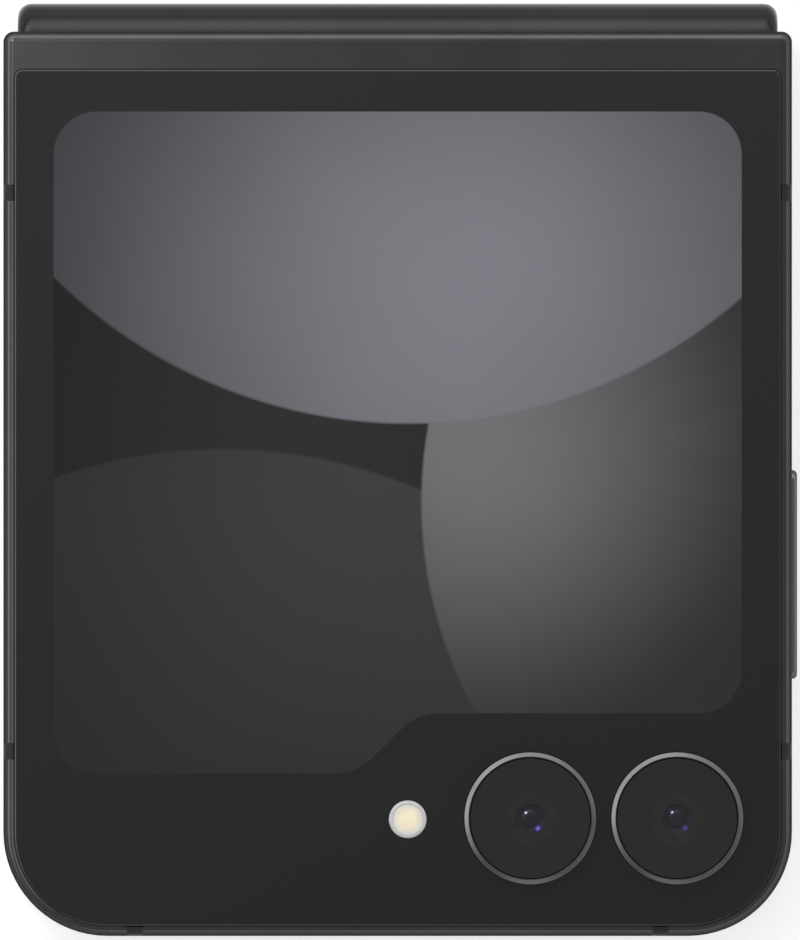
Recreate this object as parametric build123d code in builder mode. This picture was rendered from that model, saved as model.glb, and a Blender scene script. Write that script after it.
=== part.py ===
from build123d import *
import os
from math import acos, atan2, cos, degrees, pi, radians, sin, sqrt, tan

# A folding flip phone, closed: the base lies on its back glass and the lid is folded over it.
# +X points to the side with the keys, +Y to the hinge and +Z up, out of the lid's cover glass. The
# origin is on the base's back glass, in the middle of the folded outline. All sizes are millimetres.
# A place inside a half is given by its depth, counted from that half's outer glass towards the
# display. Around the hinge, (u, v) counts +Y and +Z from the line midway between the two axes.

# --- Body -----------------------------------------------------------------------------------------
body_width = 71.9
folded_length = 85.1
folded_thickness = 14.9
half_thickness = 6.9
foot_corner_radius = 9.5
hinge_corner_radius = 0.95
rim_radius = 0.9
inner_rim_radius = 0.35
wall = 2.2
plate_thickness = 0.6
glue = 0.05

# --- Glass and antenna bands ----------------------------------------------------------------------
glass_thickness = 0.6
glass_side_margin = 1.02
glass_foot_margin = 0.92
glass_end_margin = 3.47
glass_end_radius = 0.75
glass_chamfer = 0.1
glass_gap = 0.08
band_width = 1.5
band_depth = 1.3
band_hinge_margin = 14.7
band_foot_margin = 16.85
band_side_margin = 12.0

# --- Hinge ----------------------------------------------------------------------------------------
axis_offset = 1.2
meeting_gap = 0.2
swing_clearance = 0.1
spine_radius = 3.75
spine_wall = 0.6
spine_clearance = 0.15
spine_side_margin = 1.25
spine_end_wall = 1.3
spine_end_radius = 1.25
flange_start = 0.45
notch_start = 1.0
notch_play = 0.2

# --- Hinge module: block, arms and gears ----------------------------------------------------------
module_margin = 12.7
idler_width = 2.0
cheek = 0.6
tongue_width = 2.0
side_play = 0.1
ear_width = 2.2
ear_thickness = 0.6
block_top = 0.45
gear_module = 0.2
pinion_teeth = 8
ring_teeth = 23
pressure_angle = 25.0
addendum = 0.13
dedendum = 0.16
tooth_relief = 0.03
root_overlap = 0.03
pinion_angle = -40.0
tongue_outer_radius = 3.0
tongue_from = -152.0
tongue_to = -30.0
first_ring_tooth = -144.0
pin_radius = 0.25
pin_play = 0.03
pin_seat = 0.48
pocket_play = 0.12
neck_thickness = 0.46
neck_top_depth = 5.83
neck_post = 0.35
arm_seat_depth = 4.7
arm_bridge_depth = 5.35
arm_width = 10.0
arm_block_length = 6.7
arm_clearance = 0.1
clip_thickness = 0.32
clip_width = 0.7
journal_radius = 0.45

# --- Folding display ------------------------------------------------------------------------------
display_thickness = 0.4
display_depth = 6.75
display_margin = 1.7
display_gap = 0.2
fold_start = 8.0
loop_centre = -0.7
wing_tilt = 4.0
wing_thickness = 0.4
wing_play = 0.02
wing_end = 0.4
wing_side_margin = 1.85
window_play = 0.3
trunnion_radius = 0.15
trunnion_length = 0.8
bezel_height = 0.45
bezel_outer_margin = 0.7
bezel_inner_margin = 2.5
bezel_end_setback = 0.2
bezel_edge_radius = 0.22
bumper_radius = 0.7
bumper_height = 0.12
bumper_side_margin = 11.95
bumper_fold_margin = 1.8

# --- Lid: cover display, cameras, flash -----------------------------------------------------------
window_side_margin = 4.6
window_end_margin = 7.3
window_foot_margin = 14.85
window_step = 5.46
window_step_spacing = 1.87
window_corner = 3.9
window_step_radius = 4.85
panel_border = 0.8
panel_thickness = 0.7
camera_foot_margin = 10.75
camera_side_margin = 10.48
camera_pitch = 13.39
ring_radius = 6.02
ring_width = 0.48
ring_height = 1.0
ring_edge_radius = 0.16
ring_flange = 0.6
ring_flange_thickness = 0.3
lens_thickness = 0.5
lens_recess = 0.15
lens_ledge = 0.5
barrel_radius = 4.2
barrel_edge_radius = 0.24
camera_body = 9.4
flash_spacing = 11.16
flash_drop = 0.1
flash_radius = 1.72
flash_led_size = 2.0
front_camera_radius = 1.75
front_camera_margin = 5.35
front_camera_body = 6.2
front_camera_height = 2.07
running_gap = 0.05

# --- Lid: keys, card tray, board ------------------------------------------------------------------
key_flange = 0.5
key_flange_thickness = 0.7
key_play = 0.1
key_travel = 0.25
key_edge_radius = 0.4
volume_length = 19.07
volume_height = 2.0
volume_drop = 0.75
volume_proud = 0.5
side_key_length = 13.0
side_key_height = 2.4
side_key_spacing = 10.7
side_key_recess = 0.05
switch_length = 3.0
switch_thickness = 0.7
volume_switch_spacing = 12.7
tray_foot_margin = 30.55
tray_width = 10.6
tray_length = 19.0
tray_thickness = 1.0
tray_head_length = 15.0
tray_head_height = 2.2
tray_head_thickness = 1.0
tray_play = 0.1
card_length = 12.4
card_width = 8.9
card_thickness = 0.8
card_margin = 1.0
eject_radius = 0.45
reader_wall = 0.3
reader_set_back = 0.1
board_thickness = 0.7
board_depth = 4.4
board_end_margin = 40.55
board_step_margin = 17.95
board_leg_spacing = 3.28
board_foot_margin = 9.15
shield_height = 1.7
shield_wall = 0.2
shield_gap = 1.6
shield_width = 17.0
spreader_thickness = 0.5
earpiece_x = -14.0
earpiece_width = 12.0
earpiece_length = 5.0
earpiece_height = 3.2
sound_slot_length = 10.0
sound_slot_width = 0.4
battery_clearance = 0.8
battery_top_depth = 1.5
block_corner_radius = 0.9
block_edge_radius = 0.12

# --- Base: battery, lower board, port -------------------------------------------------------------
base_battery_margin = 21.55
port_width = 8.94
port_height = 3.26
port_length = 7.3
port_shell = 0.3
port_tongue_width = 6.7
port_tongue_thickness = 0.7
port_tongue_length = 4.6
port_set_back = 0.1
lower_board_thickness = 0.6
speaker_side_margin = 19.45
speaker_width = 17.0
speaker_length = 11.0
speaker_hole_radius = 0.6
speaker_hole_pitch = 2.0
speaker_holes = 6
microphone_x = -9.5
microphone_size = 2.8
microphone_height = 2.06
sound_hole_radius = 0.4
motor_side_margin = 14.95
motor_radius = 4.0
motor_height = 2.8
coil_outer_radius = 19.0
coil_inner_radius = 9.5
coil_thickness = 0.35
cover_thickness = 0.4
cover_depth = 0.95
cover_screw_head = 0.25
boss_radius = 1.6
boss_side_margin = 5.95

# --- Cable across the hinge, screws ---------------------------------------------------------------
flex_width = 10.0
flex_thickness = 0.16
flex_bend_radius = 2.6
flex_centre = -0.3
flex_end = 12.5
flex_play = 0.4
screw_radius = 0.6
screw_head_radius = 1.1
screw_head_height = 0.4
screw_length = 2.8
screw_drive_length = 1.2
screw_drive_width = 0.25
screw_rounding = 0.25
spine_screw_radius = 0.5
spine_screw_head = 0.85
spine_boss_radius = 0.95
spine_boss_height = 0.65
cut_past = 1.0

# --- Worked out from the sizes above --------------------------------------------------------------
BASE, LID = 1, -1
SIDES = {"left": -1, "right": 1}
middle_z = folded_thickness / 2
axis_depth = middle_z - axis_offset
axis_y = folded_length / 2 - spine_radius
foot_y = -folded_length / 2
end_y = axis_y + axis_offset - meeting_gap / 2
side_x = body_width / 2
half_middle = half_thickness / 2
band_hinge_y = end_y - band_hinge_margin
band_foot_y = foot_y + band_foot_margin
band_foot_x = side_x - band_side_margin
spine_length = body_width - 2 * spine_side_margin
module_x = spine_length / 2 - module_margin
swing_radius = axis_offset - swing_clearance
trough_radius = spine_radius + spine_clearance
trough_width = spine_length + 2 * spine_clearance
spine_inner_radius = spine_radius - spine_wall
spine_boss_floor = spine_inner_radius - spine_boss_height
spine_screw_length = ear_thickness + spine_boss_height + spine_wall / 2
glass_seat = glass_thickness + glue
glass_end_y = end_y - glass_end_margin
display_seat = display_depth - display_thickness
plate_depth = display_seat - plate_thickness
fold_y = axis_y - fold_start
wing_width = body_width - 2 * wing_side_margin
cavity_end = fold_y - battery_clearance
cavity_foot = foot_y + wall
cavity_side = side_x - wall
arm_y = fold_y - side_play - arm_clearance
arm_foot_y = arm_y - arm_block_length
module_half_width = idler_width / 2 + 2 * cheek + tongue_width + 2 * side_play
tongue_centre = idler_width / 2 + cheek + side_play + tongue_width / 2
pinion_radius = gear_module * pinion_teeth / 2
ring_pitch_radius = gear_module * ring_teeth / 2
gear_tip_radius = pinion_radius + addendum
pocket_radius = gear_tip_radius + pocket_play
display_face_v = middle_z - display_depth
loop_radius = (loop_centre + fold_start) * sin(radians(wing_tilt)) + display_face_v * cos(radians(wing_tilt))
loop_outer_radius = loop_radius + display_thickness
recess_half_height = loop_outer_radius + side_play + spine_clearance
recess_floor = loop_centre + loop_outer_radius + spine_clearance
wing_pocket_depth = (
    display_seat - wing_play - wing_thickness
    - (fold_start - trough_radius + cut_past) * tan(radians(wing_tilt))
)
window_width = body_width - 2 * window_side_margin
window_top = end_y - window_end_margin
window_low = foot_y + window_foot_margin
camera_y = foot_y + camera_foot_margin
camera_x = side_x - camera_side_margin - camera_pitch
flash_x = camera_x - flash_spacing
flash_y = camera_y - flash_drop
window_step_x = flash_x - window_step_spacing
front_camera_y = foot_y + front_camera_margin
side_key_y = band_hinge_y - side_key_spacing
volume_y = (band_foot_y + side_key_y - side_key_length / 2) / 2 - volume_drop
tray_y = foot_y + tray_foot_margin
board_end = foot_y + board_end_margin
board_step_y = foot_y + board_step_margin
board_foot = foot_y + board_foot_margin
board_leg_x = flash_x + board_leg_spacing
base_battery_foot = foot_y + base_battery_margin
lower_part_foot = cavity_foot + running_gap
lower_board_top = plate_depth - lower_board_thickness
speaker_x = side_x - speaker_side_margin
motor_x = motor_side_margin - side_x
motor_y = base_battery_foot - battery_clearance - motor_radius - boss_radius - 2 * running_gap
boss_x = side_x - boss_side_margin


def z_at(half, depth):
    """Height of a depth under a half's outer glass."""
    return middle_z + half * (depth - middle_z)


def level(half, depth):
    """Plane across a half at a depth, with its normal up."""
    return Plane.XY.offset(z_at(half, depth))


def inward(half, x, y, depth):
    """Plane at a depth in a half, with its normal towards the other half."""
    return Plane(origin=(x, y, z_at(half, depth)), x_dir=(1, 0, 0), z_dir=(0, 0, half))


def hinge_plane(x, u=0.0, v=0.0):
    """Plane across the hinge at x, whose own axes are u and v."""
    return Plane(origin=(x, axis_y + u, middle_z + v), x_dir=(0, 1, 0), z_dir=(1, 0, 0))


def side_plane(x, y, half):
    """Plane across the body's width at half its half's thickness, with its normal to +X."""
    return Plane(origin=(x, y, z_at(half, half_middle)), x_dir=(0, 1, 0), z_dir=(1, 0, 0))


def foot_plane(x, y, half):
    """Plane across the body's length at half its half's thickness, with its normal to the foot."""
    return Plane(origin=(x, y, z_at(half, half_middle)), x_dir=(1, 0, 0), z_dir=(0, -1, 0))


def save(part, name):
    """Label a finished piece and write it."""
    part.label = name
    export_step(part, f"parts/{name}.step")


# --- Outlines -------------------------------------------------------------------------------------
def outline(half, depth, inset, foot_inset, top_y, top_radius):
    """A half's plan outline, drawn in at its sides and its foot and cut off at top_y."""
    with BuildSketch(level(half, depth)) as sketch:
        with Locations((0, (foot_y + foot_inset + top_y) / 2)):
            Rectangle(body_width - 2 * inset, top_y - foot_y - foot_inset)
        fillet(sketch.vertices().group_by(Axis.Y)[0], foot_corner_radius - inset)
        if top_radius:
            fillet(sketch.vertices().group_by(Axis.Y)[-1], top_radius)
    return sketch.sketch


def glass_outline(half, depth, growth=0.0):
    """The outer glass's outline, grown all round for the recess that it lies in."""
    return outline(
        half,
        depth,
        glass_side_margin - growth,
        glass_foot_margin - growth,
        glass_end_y + growth,
        glass_end_radius + growth,
    )


def patch(half, depth, x_range, y_range, radius=0.0):
    """A rectangle in plan at a depth."""
    with BuildSketch(level(half, depth)) as sketch:
        with Locations((sum(x_range) / 2, sum(y_range) / 2)):
            Rectangle(x_range[1] - x_range[0], y_range[1] - y_range[0])
        if radius:
            fillet(sketch.vertices(), radius)
    return sketch.sketch


def around(centre, size):
    """The two ends of a size about its centre."""
    return centre - size / 2, centre + size / 2


def disc(half, x, y, depth, radius):
    """A circle in plan at a depth."""
    with BuildSketch(level(half, depth)) as sketch:
        with Locations((x, y)):
            Circle(radius)
    return sketch.sketch


def slot(plane, length, height):
    """A round-ended slot on a plane, long way along the plane's first axis."""
    with BuildSketch(plane) as sketch:
        SlotOverall(length, height)
    return sketch.sketch


def towards_middle(half):
    """Alignment that grows a rectangle on the hinge plane from a half to the other."""
    return Align.MIN if half == BASE else Align.MAX


def swing_corner(half):
    """What a half's end gives up so that the two ends roll past each other: all outside a circle."""
    with BuildSketch(hinge_plane(-side_x)) as sketch:
        with Locations((0, -half * axis_offset)):
            Rectangle(spine_radius, spine_radius, align=(Align.MIN, towards_middle(half)))
            Circle(swing_radius, mode=Mode.SUBTRACT)
    return sketch.sketch


def trough_section(half):
    """The channel in a half's end that the spine turns in."""
    with BuildSketch(hinge_plane(-trough_width / 2)) as sketch:
        with Locations((0, -half * axis_offset)):
            Circle(trough_radius)
            Rectangle(2 * trough_radius, trough_radius, align=(Align.CENTER, towards_middle(half)))
            Rectangle(trough_radius, 2 * trough_radius, align=(Align.MIN, Align.CENTER))
    return sketch.sketch


def spine_section(x, radius, start):
    """The spine's round-backed section, from u = start to its back."""
    with BuildSketch(hinge_plane(x)) as sketch:
        SlotCenterToCenter(2 * axis_offset, 2 * radius, rotation=90)
        with Locations((start, 0)):
            Rectangle(2 * radius, 4 * radius, align=(Align.MIN, Align.CENTER), mode=Mode.INTERSECT)
    return sketch.sketch


def window_outline(half, depth, growth):
    """The cover display's outline, stepped up over the cameras, grown by a border."""
    low_right = window_low + window_step
    corners = [
        (-window_width / 2, window_top),
        (-window_width / 2, window_low),
        (window_step_x - window_step / 2, window_low),
        (window_step_x + window_step / 2, low_right),
        (window_width / 2, low_right),
        (window_width / 2, window_top),
    ]
    with BuildSketch(level(half, depth)) as sketch:
        with BuildLine():
            Polyline(*corners, close=True)
        make_face()
        outer = sketch.vertices().filter_by(lambda v: abs(v.X) > window_width / 2 - window_corner)
        inner = sketch.vertices().filter_by(lambda v: abs(v.X) < window_step)
        fillet(outer, window_corner)
        fillet(inner, window_step_radius)
        if growth:
            offset(amount=growth)
    return sketch.sketch


# --- Frames ---------------------------------------------------------------------------------------
def band_plan(half):
    """Plan of the cuts through the frame's wall that the antenna bands fill."""
    with BuildSketch(level(half, 0)) as sketch:
        for side in SIDES.values():
            for y in (band_hinge_y, band_foot_y):
                with Locations((side * side_x, y)):
                    Rectangle(2 * band_depth, band_width)
            with Locations((side * band_foot_x, foot_y)):
                Rectangle(band_width, 2 * band_depth)
    return sketch.sketch


def frame_body(half):
    """A half's metal frame: a wall all round a middle plate, with its bands still part of it."""
    cavity_depth = plate_depth - glass_seat
    display_recess = display_margin - display_gap
    with BuildPart() as body:
        extrude(outline(half, 0, 0, 0, end_y, hinge_corner_radius), amount=half * half_thickness)
        fillet(body.edges().group_by(Axis.Z)[0 if half == BASE else -1], rim_radius)
        fillet(body.edges().group_by(Axis.Z)[-1 if half == BASE else 0], inner_rim_radius)
        # seat of the outer glass, and the cavity behind it
        extrude(glass_outline(half, 0, glass_gap), amount=half * glass_seat, mode=Mode.SUBTRACT)
        extrude(
            outline(half, glass_seat, wall, wall, cavity_end, rim_radius),
            amount=half * cavity_depth,
            mode=Mode.SUBTRACT,
        )
        # solid ground under each hinge arm
        for side in SIDES.values():
            x_range = around(side * module_x, arm_width + 2 * battery_clearance)
            extrude(
                patch(half, glass_seat, x_range, (arm_foot_y - battery_clearance, cavity_end)),
                amount=half * cavity_depth,
            )
        # seat of the display
        extrude(
            outline(half, display_seat, display_recess, display_recess, end_y, 0),
            amount=half * half_thickness,
            mode=Mode.SUBTRACT,
        )
        # pockets of the wing plate and the arms
        wing_side = side_x - display_recess
        extrude(
            patch(half, wing_pocket_depth, (-wing_side, wing_side), (fold_y - side_play, axis_y)),
            amount=half * half_thickness,
            mode=Mode.SUBTRACT,
        )
        for side in SIDES.values():
            x_range = around(side * module_x, arm_width + 2 * side_play)
            extrude(
                patch(half, arm_seat_depth, x_range, (arm_foot_y - side_play, fold_y)),
                amount=half * half_thickness,
                mode=Mode.SUBTRACT,
            )
            extrude(
                patch(half, arm_seat_depth - arm_clearance, x_range, (arm_y, axis_y)),
                amount=half * (wing_pocket_depth - arm_seat_depth + 2 * arm_clearance),
                mode=Mode.SUBTRACT,
            )
            with Locations(*arm_screw_planes(half, side, arm_seat_depth)):
                Hole(screw_radius, depth=screw_length)
        # channel of the cable that crosses the hinge
        flex_channel = around(0, flex_width + 2 * flex_play)
        flex_depth = middle_z - flex_bend_radius
        extrude(
            patch(half, flex_depth - flex_play, flex_channel, (cavity_end - side_play, axis_y)),
            amount=half * (wing_pocket_depth - flex_depth + 2 * flex_play),
            mode=Mode.SUBTRACT,
        )
        # bores of the wing plate's trunnions
        bore_length = trunnion_length + 2 * side_play
        for side in SIDES.values():
            with BuildSketch(wing_pivot_plane(half, side * (wing_width / 2))):
                Circle(trunnion_radius + pin_play)
            extrude(amount=side * bore_length, mode=Mode.SUBTRACT)
        # trough of the spine, and the rounded end
        extrude(trough_section(half), amount=trough_width, mode=Mode.SUBTRACT)
        extrude(swing_corner(half), amount=body_width, mode=Mode.SUBTRACT)
    return body.part


def wing_pivot_plane(half, x):
    """Plane across a wing plate's pivot."""
    pivot_depth = display_seat - wing_play - wing_thickness / 2
    return Plane(
        origin=(x, fold_y + wing_thickness / 2, z_at(half, pivot_depth)), x_dir=(0, 1, 0), z_dir=(1, 0, 0)
    )


def arm_screw_planes(half, side, depth):
    """Planes of one arm's two screws."""
    screw_y = arm_foot_y + arm_block_length / 2
    return [
        inward(half, side * module_x + offset_x, screw_y, depth)
        for offset_x in (-arm_width / 4, arm_width / 4)
    ]


def screws(planes, radius, head_radius, head_height, length):
    """Pan-head screws, one on each plane, with their heads standing on it."""
    with BuildPart() as group:
        with Locations(*planes):
            Cylinder(head_radius, head_height, align=(Align.CENTER, Align.CENTER, Align.MIN))
            Cylinder(radius, length, align=(Align.CENTER, Align.CENTER, Align.MAX))
        head_rims = group.edges().filter_by(GeomType.CIRCLE).filter_by(is_head_rim(head_radius))
        fillet(head_rims, screw_rounding * head_height)
        with Locations(*[plane.offset(head_height) for plane in planes]):
            for turn in (0, 90):
                Box(
                    screw_drive_length * head_radius,
                    screw_drive_width * head_radius,
                    head_height,
                    rotation=(0, 0, turn),
                    mode=Mode.SUBTRACT,
                )
    return group.part


def is_head_rim(head_radius):
    """Filter for the two circles of a screw's head."""
    return lambda edge: abs(edge.radius - head_radius) < 1e-6


def boss_places():
    """Plan places of the four screws that hold the base's inner cover."""
    rows = (
        cavity_foot + foot_corner_radius - boss_radius,
        base_battery_foot - battery_clearance - boss_radius,
    )
    return [(side * boss_x, y) for side in SIDES.values() for y in rows]


# --- Pieces that both halves have -----------------------------------------------------------------
def antenna_bands(half, body):
    """The plastic bands that part a half's frame into aerials."""
    with BuildPart() as bands:
        add(body)
        extrude(band_plan(half), amount=half * half_thickness, mode=Mode.INTERSECT)
    return bands.part


def outer_glass(half):
    """A half's outer glass, with a fine chamfer round its face."""
    with BuildPart() as glass:
        extrude(glass_outline(half, 0), amount=half * glass_thickness)
        chamfer(glass.edges().group_by(Axis.Z)[0 if half == BASE else -1], glass_chamfer)
    return glass.part


def flat_display(half):
    """The part of the folding display that is glued flat to a half."""
    with BuildPart() as display:
        extrude(
            outline(half, display_seat, display_margin, display_margin, fold_y, 0),
            amount=half * display_thickness,
        )
    return display.part


def bezel(half):
    """The raised rim round a half's share of the folding display."""
    rim_end = axis_y - bezel_end_setback
    with BuildPart() as rim:
        extrude(
            outline(half, half_thickness, bezel_outer_margin, bezel_outer_margin, rim_end, 0),
            amount=half * bezel_height,
        )
        fillet(rim.edges().group_by(Axis.Z)[-1 if half == BASE else 0], bezel_edge_radius)
        extrude(
            outline(half, half_thickness, bezel_inner_margin, bezel_inner_margin, end_y, 0),
            amount=half * bezel_height,
            mode=Mode.SUBTRACT,
        )
    return rim.part


def wing_plate(half):
    """The sprung floor of the display beside the hinge, tilted down into its half when folded."""
    tilt = radians(wing_tilt)
    plate_length = fold_start - wing_end - wing_thickness / 2
    pivot = wing_pivot_plane(half, 0).origin
    plate_plane = Plane(origin=pivot, x_dir=(1, 0, 0), z_dir=(0, half * sin(tilt), cos(tilt)))
    with BuildPart() as plate:
        with BuildSketch(plate_plane.offset(-wing_thickness / 2)):
            Rectangle(wing_width, plate_length, align=(Align.CENTER, Align.MIN))
            for side in SIDES.values():
                # windows over the arm's neck and over the pinion
                with Locations((side * module_x + arm_offset(half, side), plate_length)):
                    Rectangle(
                        tongue_width + 2 * window_play,
                        trough_radius + arm_clearance + neck_post + window_play - wing_end,
                        align=(Align.CENTER, Align.MAX),
                        mode=Mode.SUBTRACT,
                    )
                pinion_ends = x_span(side, half, -idler_width / 2 - side_play, module_half_width - cheek)
                with Locations((sum(pinion_ends) / 2, plate_length)):
                    Rectangle(
                        pinion_ends[1] - pinion_ends[0],
                        pocket_radius - pinion_v - axis_offset + side_play - wing_end,
                        align=(Align.CENTER, Align.MAX),
                        mode=Mode.SUBTRACT,
                    )
        extrude(amount=wing_thickness)
        with BuildSketch(wing_pivot_plane(half, -wing_width / 2)):
            Circle(wing_thickness / 2)
        extrude(amount=wing_width)
        with BuildSketch(wing_pivot_plane(half, -wing_width / 2 - trunnion_length)):
            Circle(trunnion_radius)
        extrude(amount=wing_width + 2 * trunnion_length)
    return plate.part


# --- Hinge arms and gears -------------------------------------------------------------------------
def arm_offset(half, side):
    """Place of a half's tongue across a hinge module: the base's outside, the lid's inside."""
    return half * side * tongue_centre


def involute(angle):
    """The involute function of a pressure angle."""
    return tan(angle) - angle


def flank_angle(pitch_radius, teeth, radius, inside):
    """Half the angle that a tooth takes at a radius, for an outside or an inside tooth."""
    base_radius = pitch_radius * cos(radians(pressure_angle))
    at_radius = involute(acos(min(1.0, base_radius / radius)))
    at_pitch = involute(radians(pressure_angle))
    spread = at_radius - at_pitch if inside else at_pitch - at_radius
    return pi / (2 * teeth) - tooth_relief / pitch_radius + spread


def tooth_points(pitch_radius, teeth, root_radius, tip_radius, inside):
    """One tooth's outline about the angle zero, up one flank and down the other."""
    dedendum_middle = (root_radius + pitch_radius) / 2
    addendum_middle = (pitch_radius + tip_radius) / 2
    radii = [root_radius, dedendum_middle, pitch_radius, addendum_middle, tip_radius]
    flank = [(r, flank_angle(pitch_radius, teeth, r, inside)) for r in radii]
    near = [(r * cos(a), -r * sin(a)) for r, a in flank]
    far = [(r * cos(a), r * sin(a)) for r, a in reversed(flank)]
    return near + far


def outside_phase(phase, angle):
    """Phase of an outside gear that meshes with its equal, whose own phase is given, at an angle."""
    return angle + 180 - (phase - angle) - 180 / pinion_teeth


def inside_phase(ring_phase, angle):
    """Phase of a pinion that meshes inside a ring of the given phase at an angle."""
    return angle + ring_teeth / pinion_teeth * (ring_phase - angle) + 180 / pinion_teeth


def ring_phase_for(pinion_phase, angle):
    """Phase of the ring that a pinion of the given phase meshes inside at an angle."""
    return angle + pinion_teeth / ring_teeth * (pinion_phase - angle - 180 / pinion_teeth)


centre_distance = ring_pitch_radius - pinion_radius
pinion_u = centre_distance * cos(radians(pinion_angle))
pinion_v = -axis_offset + centre_distance * sin(radians(pinion_angle))
idler_v = -pinion_radius
idler_u = pinion_u + sqrt((2 * pinion_radius) ** 2 - (idler_v - pinion_v) ** 2)
gear_places = {
    "base_pinion": (pinion_u, pinion_v),
    "base_idler": (idler_u, idler_v),
    "lid_idler": (idler_u, -idler_v),
    "lid_pinion": (pinion_u, -pinion_v),
}
idler_angle = degrees(atan2(idler_v - pinion_v, idler_u - pinion_u))
base_pinion_phase = inside_phase(first_ring_tooth, pinion_angle)
base_idler_phase = outside_phase(base_pinion_phase, idler_angle)
lid_idler_phase = outside_phase(base_idler_phase, 90)
lid_pinion_phase = outside_phase(lid_idler_phase, 180 - idler_angle)
gear_phases = {
    "base_pinion": base_pinion_phase,
    "base_idler": base_idler_phase,
    "lid_idler": lid_idler_phase,
    "lid_pinion": lid_pinion_phase,
}
lid_ring_phase = ring_phase_for(lid_pinion_phase, -pinion_angle)
journal_length = clip_width + 3 * side_play
clip_radius = journal_radius + pin_play + clip_thickness


def x_span(side, half, start, end):
    """Two x places in a hinge module, counted from its middle towards a half's tongue, in order."""
    ends = [side * module_x + half * side * value for value in (start, end)]
    return min(ends), max(ends)


def gear(name, side):
    """One eight-tooth gear: an idler, or a pinion that also reaches across its tongue's teeth."""
    half = BASE if name.startswith("base") else LID
    u, v = gear_places[name]
    idler_side = idler_width / 2 - side_play
    tongue_far = module_half_width - cheek - side_play
    start, end = x_span(side, half, -idler_side, tongue_far if name.endswith("pinion") else idler_side)
    root_radius = pinion_radius - dedendum
    tooth = tooth_points(pinion_radius, pinion_teeth, root_radius - root_overlap, gear_tip_radius, False)
    with BuildPart() as wheel:
        with BuildSketch(hinge_plane(start, u, v)):
            Circle(root_radius)
            with PolarLocations(0, pinion_teeth, start_angle=gear_phases[name]):
                Polygon(*tooth, align=None)
        extrude(amount=end - start)
        if name.endswith("pinion"):
            low, high = x_span(side, half, tongue_far, module_half_width + journal_length)
            with BuildSketch(hinge_plane(low, u, v)):
                Circle(journal_radius)
            extrude(amount=high - low)
        with BuildSketch(hinge_plane(side * module_x - 2 * module_half_width, u, v)):
            Circle(pin_radius + pin_play)
        extrude(amount=4 * module_half_width, mode=Mode.SUBTRACT)
    return wheel.part


def pin_span(name, side):
    """Where a gear's pin starts and ends: it is seated in the cheeks beside its gear."""
    half = BASE if name.startswith("base") else LID
    near = -idler_width / 2 - pin_seat
    far = idler_width / 2 + pin_seat
    if name.endswith("pinion"):
        far = module_half_width + journal_length
    return x_span(side, half, near, far)


def gear_pins():
    """The fixed steel pins that all the gears turn on."""
    with BuildPart() as pins:
        for side in SIDES.values():
            for name, (u, v) in gear_places.items():
                start, end = pin_span(name, side)
                with BuildSketch(hinge_plane(start, u, v)):
                    Circle(pin_radius)
                extrude(amount=end - start)
    return pins.part


def friction_clips():
    """Split spring collars that grip the pinions' journals and hold the lid where it is put."""
    with BuildPart() as clips:
        for side in SIDES.values():
            for name in ("base_pinion", "lid_pinion"):
                half = BASE if name.startswith("base") else LID
                start, end = x_span(side, half, module_half_width, module_half_width + clip_width)
                u, v = gear_places[name]
                with BuildSketch(hinge_plane(start, u, v)):
                    Circle(clip_radius)
                    Circle(clip_radius - clip_thickness, mode=Mode.SUBTRACT)
                    # the collar's slit
                    Rectangle(
                        2 * clip_radius,
                        clip_thickness,
                        align=(Align.MAX, Align.CENTER),
                        mode=Mode.SUBTRACT,
                    )
                extrude(amount=end - start)
    return clips.part


def hinge_block(side):
    """A hinge module's body: cheeks round the tongues' arc rails, with pockets for the gears."""
    centre = side * module_x
    idler_side = idler_width / 2
    tongue_near = idler_side + cheek
    tongue_far = tongue_near + tongue_width + 2 * side_play
    with BuildPart() as block:
        extrude(
            spine_section(centre - module_half_width, spine_inner_radius - pin_play, block_top),
            amount=2 * module_half_width,
        )
        # arc rails: each tongue runs round its own axis between two cheeks
        for half in (BASE, LID):
            start, end = x_span(side, half, tongue_near, tongue_far)
            with BuildSketch(hinge_plane(start, 0, -half * axis_offset)):
                Circle(spine_inner_radius + side_play)
                Circle(ring_pitch_radius - addendum - arm_clearance, mode=Mode.SUBTRACT)
            extrude(amount=end - start, mode=Mode.SUBTRACT)
        # gear pockets
        for name, (u, v) in gear_places.items():
            half = BASE if name.startswith("base") else LID
            far = tongue_far if name.endswith("pinion") else idler_side
            start, end = x_span(side, half, -idler_side, far)
            with BuildSketch(hinge_plane(start, u, v)):
                Circle(pocket_radius)
            extrude(amount=end - start, mode=Mode.SUBTRACT)
            # seats of the gear's pin, and the way out of a pinion's journal
            start, end = pin_span(name, side)
            with BuildSketch(hinge_plane(start, u, v)):
                Circle(pin_radius)
            extrude(amount=end - start, mode=Mode.SUBTRACT)
            if name.endswith("pinion"):
                start, end = x_span(side, half, tongue_far, module_half_width)
                with BuildSketch(hinge_plane(start, u, v)):
                    Circle(journal_radius + pin_play)
                extrude(amount=end - start, mode=Mode.SUBTRACT)
        # hollow for the folded display's loop
        with BuildSketch(hinge_plane(centre - module_half_width)):
            Rectangle(2 * recess_floor, 2 * recess_half_height)
        extrude(amount=2 * module_half_width, mode=Mode.SUBTRACT)
        # ears for the screws
        for ear_side in SIDES.values():
            ends = sorted((ear_side * module_half_width, ear_side * (module_half_width + ear_width)))
            with BuildSketch(hinge_plane(centre + ends[0])):
                with Locations((spine_boss_floor, 0)):
                    Rectangle(ear_thickness, 2 * spine_boss_radius, align=(Align.MAX, Align.CENTER))
            extrude(amount=ends[1] - ends[0])
        with Locations(*spine_screw_planes([side])):
            Hole(spine_screw_radius, depth=2 * ear_thickness)
    return block.part


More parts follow.
